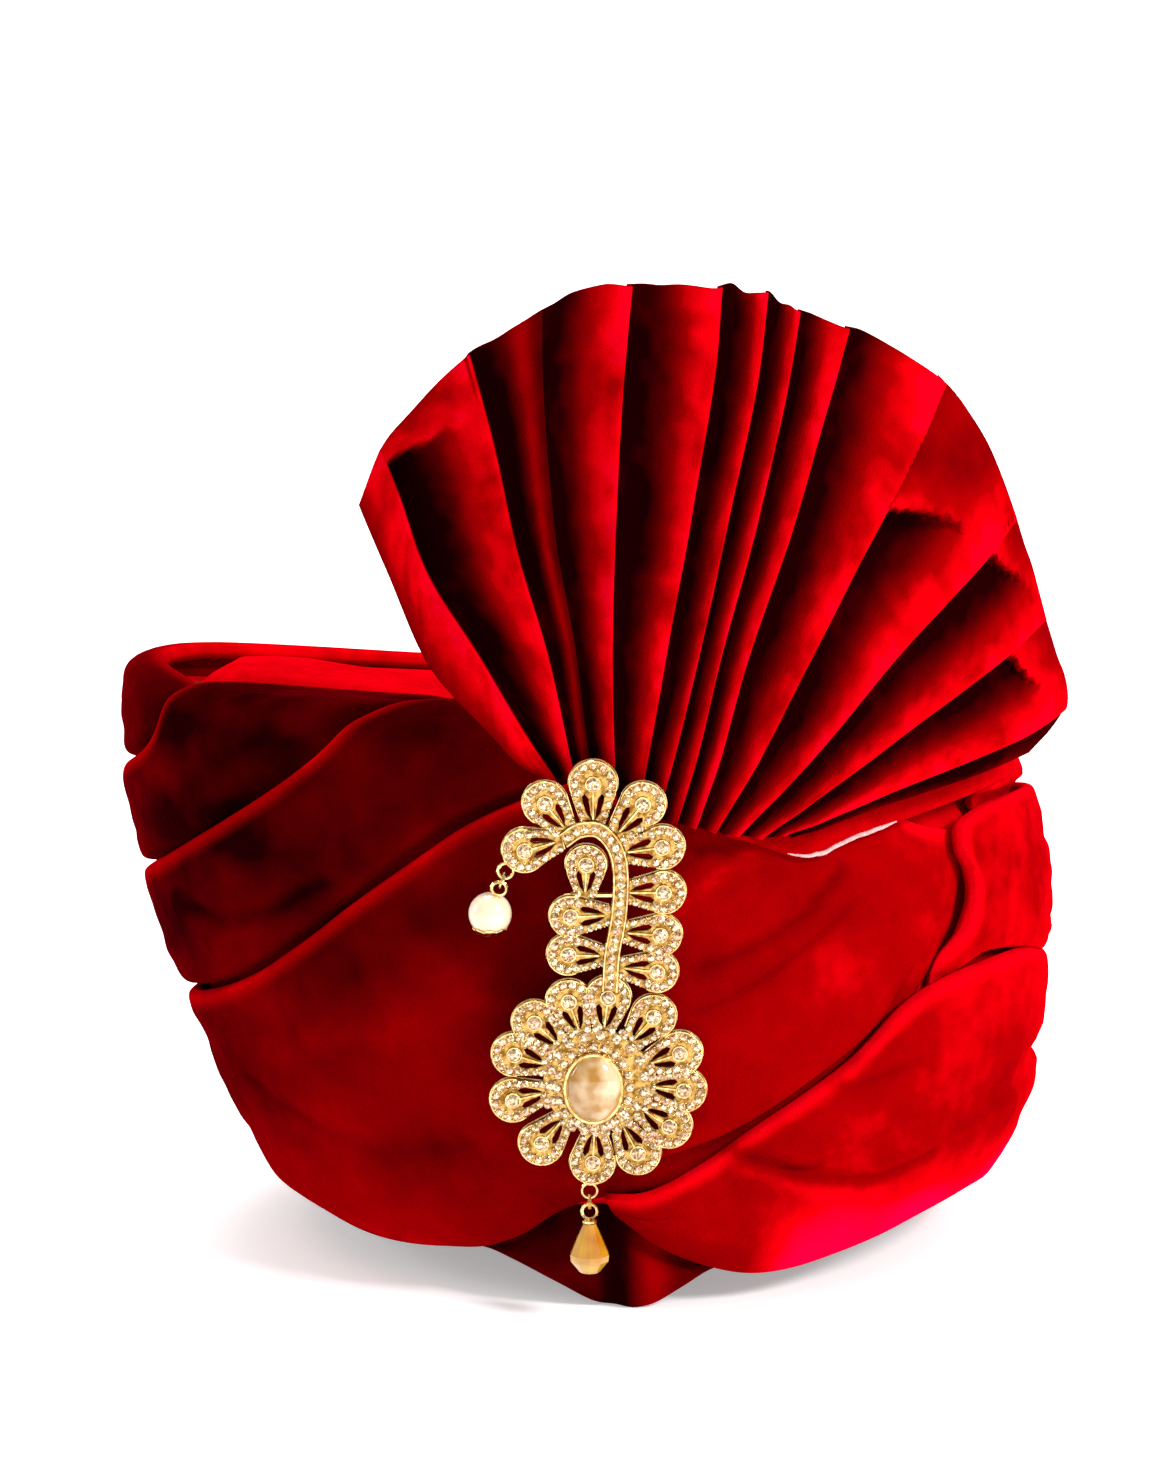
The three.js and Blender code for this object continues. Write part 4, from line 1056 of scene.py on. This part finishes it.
DISC_RISE = 0.3
INNER_RING = [9.4, 11.2]
MIDDLE_RING = 12.3
OUTER_RING = 14.6
SIDE_PETALS = [
    [-6, 68.5, -38, 12.4, 16],
    [0.3, 69.5, 0, 13.2, 18.5],
    [5.5, 67, 40, 12.6, 18],
    [6.8, 63, 82, 12.4, 17.5],
    [7.5, 52.5, 90, 12.2, 17],
    [7, 41.8, 94, 12, 16.6],
    [6.4, 32.4, 97, 11.8, 16.4],
    [5.4, 46.4, -92, 11.8, 16.8],
    [4, 35.4, -88, 11.8, 16],
    [-1.8, 50.8, 2, 11.4, 14.8],
    [-7.5, 66.5, -106, 12.4, 16.4],
]
HOOK = [
    [4.6, 26], [5.2, 36], [6.9, 46], [7.4, 57], [6.2, 64], [2, 69.2], [-3, 69.4], [-7.5, 66.5],
]
HOOK_WIDTH = 4.4
HOOK_RISE = 0.8
HOOK_STEP = 2.5
EYE_LEFT = [-22.2, 58]
EYE_LOW = [-0.6, -29]
EYE_DEPTH = 1.2
RING = 2.0
WIRE = 0.45
CABOCHON = [7.3, 9.1, 4.6]
CABOCHON_MIDDLE = np.array([0.4, -0.4])
GRAIN = 0.36
GRAIN_LIFT = 0.1
PEARL_RADIUS = 5.6
CUP_OUT = 6.0
CUP_IN = 5.66


def unit_circle(degrees):
    turns = np.radians(degrees)
    return np.stack([np.cos(turns), np.sin(turns)], -1)


def stood(points):
    """Flat brooch points in the head's frame"""
    points = np.asarray(points, float)
    sine, cosine = math.sin(BROOCH_TILT), math.cos(BROOCH_TILT)
    x, y, z = points[..., 0], points[..., 1], points[..., 2]
    return np.stack([x, y * cosine - z * sine, y * sine + z * cosine], -1) + BROOCH


def turned(points, petal):
    """Points drawn on a petal that stands up from its foot, moved to the petal's own place"""
    across, up, turn = petal[:3]
    points = np.asarray(points, float)
    sine, cosine = math.sin(math.radians(turn)), math.cos(math.radians(turn))
    moved = points.copy()
    moved[..., 0] = across + points[..., 0] * cosine + points[..., 1] * sine
    moved[..., 1] = up - points[..., 0] * sine + points[..., 1] * cosine
    return moved


def curve_mesh(loops, closed, **settings):
    """The mesh of a curve: a flat filled outline, or a round wire"""
    data = bpy.data.curves.new("drawn", "CURVE")
    for key, value in settings.items():
        setattr(data, key, value)
    for loop in loops:
        spline = data.splines.new("POLY")
        spline.points.add(len(loop) - 1)
        for point, place in zip(spline.points, loop):
            point.co = (*place, 0)[:3] + (1,)
        spline.use_cyclic_u = closed
    drawn = linked("drawn", data)
    shape = drawn.evaluated_get(bpy.context.evaluated_depsgraph_get())
    mesh = bpy.data.meshes.new_from_object(shape)
    points = np.array([v.co for v in mesh.vertices]).reshape(-1, 3)
    faces = [list(face.vertices) for face in mesh.polygons]
    bpy.data.objects.remove(drawn)
    bpy.data.meshes.remove(mesh)
    return points, faces


def plate(loops, low, high, bevel=0.3):
    half = (high - low) / 2
    points, faces = curve_mesh(
        loops, True, dimensions="2D", fill_mode="BOTH", extrude=half - bevel, bevel_depth=bevel,
        bevel_resolution=1, offset=-bevel,
    )
    return points + [0, 0, low + half], faces


def wire(line, radius, closed=False):
    return curve_mesh(
        [line], closed, dimensions="3D", bevel_depth=radius, bevel_resolution=1, use_fill_caps=not closed,
    )


def petal_outline(width, long, inset=0.0):
    turns = np.radians(np.linspace(205, -25, 22))
    reach = 0.5 * width - inset
    middle = long - 0.49 * width
    arc = np.stack([reach * np.cos(turns), middle + (0.49 * width - inset) * np.sin(turns)], -1)
    foot = 0.22 * width - 0.5 * inset
    return np.concatenate([[[-foot, inset]], arc, [[foot, inset]]])[::-1]


def petal_slits(width, long):
    right = np.array([[0.035, 0.14], [0.1, 0.44], [0.17, 0.5], [0.215, 0.46], [0.2, 0.38], [0.12, 0.22]])
    right = right * [width, long]
    return [right, right * [-1, 1]]


def lifted(points, depth):
    points = np.asarray(points, float)
    return np.concatenate([points, np.full((len(points), 1), depth)], -1)


class Goldwork:
    """Gathers the metal, the stones' seats and the small grains that hold them"""

    def __init__(self):
        self.points, self.faces, self.tones = [], [], []
        self.count = 0
        self.stones, self.grains = [], []

    def add(self, shape, petal=None, tone=0):
        points, faces = shape
        self.tones += [tone] * len(faces)
        if petal is not None:
            points = turned(points, petal)
        self.points.append(stood(points))
        self.faces += [[index + self.count for index in face] for face in faces]
        self.count += len(points)

    def set_stones(self, places, size, depth, petal=None, grains=None):
        def seats(flat, up):
            raised = lifted(flat, up)
            return raised if petal is None else turned(raised, petal)

        self.stones += [(*place, size) for place in seats(places, depth)]
        if grains is not None:
            self.grains += [(*place, GRAIN) for place in seats(grains, depth + GRAIN_LIFT)]


work = Goldwork()


def halfway(places, inwards, outwards, middle):
    """Two grains between each two stones of a row, inside and outside it"""
    between = (places[1:] + places[:-1]) / 2
    away = between - middle
    away /= np.linalg.norm(away, axis=1, keepdims=True)
    return np.concatenate([between - away * inwards, between + away * outwards])


def add_petal(petal):
    width, long = petal[3], petal[4]
    slits = petal_slits(width, long)
    upper = [petal_outline(width, long, PETAL_INSET), *slits]
    work.add(plate([petal_outline(width, long), *slits], 0, PETAL_LOWER_TOP, 0.3), petal)
    work.add(plate(upper, PETAL_UPPER_FOOT, PLATE_THICK, 0.25), petal, 1)
    rim = lifted(petal_outline(width, long, 0.5)[1:-1], PLATE_THICK - 0.05)
    work.add(wire(rim, PETAL_WIRE), petal)
    middle = np.array([0, long - 0.49 * width])
    arc = middle + (0.5 * width - ARC_INSET) * unit_circle(np.linspace(212, -32, 9))
    work.set_stones(arc, ARC_STONE, PLATE_THICK, petal, halfway(arc, ARC_GRAIN, ARC_GRAIN, middle))
    sides = np.array([[0.285, 0.355], [0.225, 0.215], [0.17, 0.08]]) * [width, long]
    for side in (1, -1):
        row = sides * [side, 1]
        work.set_stones(row, SIDE_STONE, PLATE_THICK, petal, row + [side * 0.9, 0.9])
    seat = middle - [0, 0.1]
    work.set_stones([seat], MAIN_STONE, PLATE_THICK + MAIN_RISE, petal)
    cup = seat + MAIN_STONE * unit_circle(np.arange(0, 360, 30))
    work.add(wire(lifted(cup, PLATE_THICK + MAIN_RISE), MAIN_WIRE, True), petal)
    stem = lifted([[0, 0.14 * long], [0, 0.3 * long], middle - [0, 1.9]], PLATE_THICK)
    work.add(wire(stem, STEM_WIRE), petal)


def add_flower():
    for turn in FLOWER_TURNS:
        sine, cosine = math.sin(math.radians(turn)), math.cos(math.radians(turn))
        add_petal([*(FLOWER + FLOWER_FOOT * np.array([sine, cosine])), turn, PETAL_WIDTH, PETAL_LONG])
    around = unit_circle(np.arange(0, 360, 7.5))
    work.add(plate([FLOWER + DISC_RADIUS * around], 0, PLATE_THICK + DISC_RISE, 0.4), tone=1)
    middle = CABOCHON_MIDDLE
    work.add(wire(lifted(middle + around * (np.array(CABOCHON[:2]) + 0.15), PLATE_THICK + 0.9), 0.6, True))
    ring = middle + unit_circle(np.arange(0, 360, 18)) * INNER_RING
    work.set_stones(ring, 1.3, PLATE_THICK + DISC_RISE, grains=halfway(ring, 1.0, 1.0, middle))
    ring = FLOWER + MIDDLE_RING * unit_circle(np.arange(0, 360, 20) + 6)
    work.set_stones(ring, 1.45, PLATE_THICK + DISC_RISE, grains=halfway(ring, 1.2, 1.2, FLOWER))
    ring = FLOWER + OUTER_RING * unit_circle(np.arange(0, 360, 12) + 4)
    work.set_stones(ring, 0.95, PLATE_THICK + 0.1)


def add_hook():
    line = smooth_line(HOOK, [6] * (len(HOOK) - 1))
    along = np.gradient(line, axis=0)
    along /= np.linalg.norm(along, axis=1, keepdims=True)
    out = np.stack([along[:, 1], -along[:, 0]], -1)
    edge = [line + out * HOOK_WIDTH / 2, line - out * HOOK_WIDTH / 2]
    work.add(plate([np.concatenate([edge[0], edge[1][::-1]])], 0, PLATE_THICK + HOOK_RISE, 0.3), tone=1)
    for side in (-1, 1):
        work.add(wire(lifted(line + side * out * (HOOK_WIDTH / 2 - 0.45), PLATE_THICK + 0.85), 0.36))
    passed = run(line)
    at = np.arange(1.5, passed[-1], HOOK_STEP)
    row = np.stack([np.interp(at, passed, line[:, 0]), np.interp(at, passed, line[:, 1])], -1)
    work.set_stones(row, 1.2, PLATE_THICK + HOOK_RISE, grains=(row[1:] + row[:-1]) / 2)


def add_fittings():
    circle = RING * unit_circle(np.arange(0, 360, 20))
    for eye in (EYE_LEFT, EYE_LOW):
        work.add(wire(lifted(circle + eye, EYE_DEPTH), WIRE, True))
    work.add(wire(lifted([[-5.5, 51.5], [6.5, 51.5]], 1.0), 0.75))
    left = np.array(EYE_LEFT)
    work.add(wire(lifted([left + [1.1, 1.6], left + [3.6, 4.6]], 1.2), 0.95))
    low = np.array(EYE_LOW)
    work.add(wire(lifted([low + [0, 1.7], low + [0.1, 4.4]], 1.1), 1.0))
    work.set_stones([left + [2.2, 2.9]], 0.9, 2.0)
    work.set_stones([low + [0, 3]], 0.9, 2.0)


def cut_stone():
    """A round stone cut with a table and two rows of facets, one unit across its half"""
    rings = [(1.0, -0.25, 0), (1.0, 0.06, 0), (0.82, 0.32, 0.5), (0.52, 0.5, 0)]
    sides = 8
    points = []
    for reach, up, shift in rings:
        turns = [2 * math.pi * (k + shift) / sides for k in range(sides)]
        points += [(reach * math.cos(turn), reach * math.sin(turn), up) for turn in turns]
    faces = []
    for k in range(sides):
        m = (k + 1) % sides
        faces.append((k, m, sides + m, sides + k))
        faces += [(sides + k, sides + m, 2 * sides + k), (sides + m, 2 * sides + m, 2 * sides + k)]
        faces.append((2 * sides + k, 3 * sides + m, 3 * sides + k))
        faces.append((2 * sides + k, 2 * sides + m, 3 * sides + m))
    faces.append(tuple(3 * sides + k for k in range(sides)))
    faces.append(tuple(reversed(range(sides))))
    return points, faces


def round_grain():
    """A smooth bead of metal, one unit across its half"""
    sides = 6
    turns = [2 * math.pi * k / sides for k in range(sides)]
    rings = [(1.0, -0.3), (0.95, 0.3), (0.5, 0.85)]
    points = [(reach * math.cos(turn), reach * math.sin(turn), up) for reach, up in rings for turn in turns]
    points.append((0, 0, 1.0))
    faces = [tuple(reversed(range(sides)))]
    for k in range(sides):
        m = (k + 1) % sides
        faces += [(k, m, sides + m, sides + k), (sides + k, sides + m, 2 * sides + m, 2 * sides + k)]
        faces.append((2 * sides + k, 2 * sides + m, 3 * sides))
    return points, faces


def repeated(name, shape, places, material, flat, seed):
    """Sets one small shape on each place, turned at random in the brooch's plane"""
    unit = bpy.data.meshes.new(name + "_unit")
    unit.from_pydata(shape[0], [], shape[1])
    unit_piece = linked(name + "_unit", unit)
    tree = bpy.data.node_groups.new(name + "_setting", "GeometryNodeTree")
    tree.interface.new_socket("Geometry", in_out="INPUT", socket_type="NodeSocketGeometry")
    unit_input = tree.interface.new_socket("Shape", in_out="INPUT", socket_type="NodeSocketObject")
    seed_input = tree.interface.new_socket("Seed", in_out="INPUT", socket_type="NodeSocketInt")
    tree.interface.new_socket("Geometry", in_out="OUTPUT", socket_type="NodeSocketGeometry")
    given = tree.nodes.new("NodeGroupInput")
    held = tree.nodes.new("GeometryNodeObjectInfo")
    size = tree.nodes.new("GeometryNodeInputNamedAttribute")
    size.data_type = "FLOAT"
    size.inputs["Name"].default_value = "size"
    turn = tree.nodes.new("FunctionNodeRandomValue")
    turn.data_type = "FLOAT_VECTOR"
    turn.inputs["Min"].default_value = (-0.09, -0.09, 0)
    turn.inputs["Max"].default_value = (0.09, 0.09, 6.28)
    setter = tree.nodes.new("GeometryNodeInstanceOnPoints")
    real = tree.nodes.new("GeometryNodeRealizeInstances")
    finish = tree.nodes.new("GeometryNodeSetMaterial")
    finish.inputs["Material"].default_value = material
    result = tree.nodes.new("NodeGroupOutput")
    link = tree.links.new
    link(given.outputs["Geometry"], setter.inputs["Points"])
    link(given.outputs["Shape"], held.inputs["Object"])
    link(given.outputs["Seed"], turn.inputs["Seed"])
    link(held.outputs["Geometry"], setter.inputs["Instance"])
    link(turn.outputs["Value"], setter.inputs["Rotation"])
    link(size.outputs["Attribute"], setter.inputs["Scale"])
    link(setter.outputs["Instances"], real.inputs["Geometry"])
    link(real.outputs["Geometry"], finish.inputs["Geometry"])
    link(finish.outputs["Geometry"], result.inputs["Geometry"])
    places = np.array(places)
    cloud = bpy.data.meshes.new(name + "_places")
    cloud.from_pydata(places[:, :3].tolist(), [], [])
    layer = cloud.attributes.new("size", "FLOAT", "POINT")
    layer.data.foreach_set("value", places[:, 3].astype(np.float32))
    holder = linked(name + "_places", cloud)
    modifier = holder.modifiers.new("setting", "NODES")
    modifier.node_group = tree
    modifier[unit_input.identifier] = unit_piece
    modifier[seed_input.identifier] = seed
    shown = holder.evaluated_get(bpy.context.evaluated_depsgraph_get())
    mesh = bpy.data.meshes.new_from_object(shown)
    points = stood(np.array([v.co for v in mesh.vertices]).reshape(-1, 3))
    faces = [list(face.vertices) for face in mesh.polygons]
    for extra in (holder, unit_piece):
        bpy.data.objects.remove(extra)
    piece = mesh_piece(name, points, faces, [material], flat=flat)
    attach(piece, "root")
    return piece


def sarpech_piece():
    for petal in SIDE_PETALS:
        add_petal(petal)
    add_flower()
    add_hook()
    add_fittings()
    piece = mesh_piece(
        "sarpech_plate", np.concatenate(work.points), work.faces, [GOLD, GOLD_DEEP], slots=work.tones
    )
    piece.data.set_sharp_from_angle(angle=0.7)
    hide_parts("sarpech")
    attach(piece, "root")


sarpech_piece()
repeated("pave_stones", cut_stone(), work.stones, CHAMPAGNE, True, 3)
repeated("pave_grains", round_grain(), work.grains, GOLD, False, 4)


def domed(name, centre, sizes, depth_from, material, node):
    """A smooth stone or pearl: rings of points from its back to its front"""
    lifts = np.radians(np.linspace(depth_from, 90, 22))[:-1]
    around = unit_circle(np.arange(0, 360, 7.5))
    rings = [lifted(np.cos(lift) * around, np.sin(lift)) for lift in lifts]
    points = np.concatenate([*rings, [[0, 0, 1]], [[0, 0, math.sin(lifts[0])]]])
    size = len(around)
    faces = ring_faces(len(rings), size, False).tolist()
    faces += tip_faces((len(rings) - 1) * size, size, len(points) - 2).tolist()
    faces += tip_faces(0, size, len(points) - 1)[:, [1, 0, 2]].tolist()
    piece = mesh_piece(name, centre(points * sizes), faces, [material])
    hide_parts(node)
    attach(piece, "root")


domed(
    "centre_cabochon", lambda p: stood(p + [*CABOCHON_MIDDLE, PLATE_THICK + DISC_RISE]), CABOCHON, 0, CREAM,
    "centre_stone",
)
pearl_low, pearl_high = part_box("pearl")
pearl_middle = np.array((pearl_low + pearl_high) / 2) / METRE - AXIS


def pearl_cup():
    """A scalloped gold cup under the pearl"""
    turns = np.radians(np.arange(0, 360, 5))
    edge = np.radians(-46 + 9 * np.abs(np.cos(4 * turns)))
    shares = np.linspace(0, 1, 8)[:, None]
    lift = mix(math.radians(-84), edge, shares)
    rings = []
    for reach in (CUP_OUT, CUP_IN):
        rings.append(reach * np.stack([
            np.cos(lift) * np.cos(turns), np.cos(lift) * np.sin(turns), np.sin(lift)
        ], -1))
    rings = np.concatenate([rings[0], rings[1][::-1]]).transpose(1, 0, 2) + pearl_middle
    piece = tube("pearl_cup", rings, [GOLD], joined=True)
    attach(piece, "root")


pearl_cup()
domed("pearl_bead", lambda p: p + pearl_middle, PEARL_RADIUS, -90, NACRE, "pearl")

# Looks for the solids that stay as they are
for node in ("pearl_ring", "pearl_pin", "brooch_pin", "crystal_ring", "crystal_cap", "crystal"):
    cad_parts[node].data.materials.clear()
    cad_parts[node].data.materials.append(AMBER if node == "crystal" else GOLD)


# The floor, curved up behind, and the studio's lights
FLOOR_HALF = 3.0
BEND_FROM = 1.1
BEND_RADIUS = 0.8


def add_floor():
    profile = [(-1.6, 0)] + [(-0.2 + 0.1 * i, 0) for i in range(14)]
    for turn in np.radians(range(10, 91, 10)):
        away, up = math.sin(turn), 1 - math.cos(turn)
        profile.append((BEND_FROM + BEND_RADIUS * away, BEND_RADIUS * up))
    profile.append((1.9, 3.0))
    points = [(x, y, z) for y, z in profile for x in (-FLOOR_HALF, FLOOR_HALF)]
    faces = [(2 * i, 2 * i + 1, 2 * i + 3, 2 * i + 2) for i in range(len(profile) - 1)]
    mesh = bpy.data.meshes.new("floor")
    mesh.from_pydata(points, [], faces)
    look = Look(
        "floor", Roughness=0.7, Specular_IOR_Level=0.2, Emission_Color=(1, 1, 1, 1), Emission_Strength=0.35,
    )
    look.give(Base_Color=look.blend(look.noise(30, 2), rgb(246, 246, 246), rgb(252, 252, 252)))
    mesh.materials.append(look.material)
    mesh.polygons.foreach_set("use_smooth", [True] * len(mesh.polygons))
    linked("floor", mesh)


def add_light(name, place, aim, size, power):
    data = bpy.data.lights.new(name, "AREA")
    data.shape = "DISK"
    data.size = size
    data.energy = power
    lamp = linked(name, data)
    lamp.location = place
    lamp.rotation_euler = (Vector(aim) - Vector(place)).to_track_quat("-Z", "Y").to_euler()


add_floor()
add_light("key", (1.5, -1.2, 1.3), (0, 0, 0.13), 0.6, 44)
add_light("top", (-0.2, 0.7, 2.0), (0, 0, 0.1), 1.2, 30)
add_light("left", (-1.8, 0.1, 0.7), (0, 0, 0.12), 0.8, 10)
world = bpy.data.worlds.new("studio")
world.use_nodes = True
background = world.node_tree.nodes["Background"]
background.inputs["Color"].default_value = (1, 1, 1, 1)
background.inputs["Strength"].default_value = 0.6
bpy.context.scene.world = world
bpy.context.scene.view_settings.view_transform = "Standard"
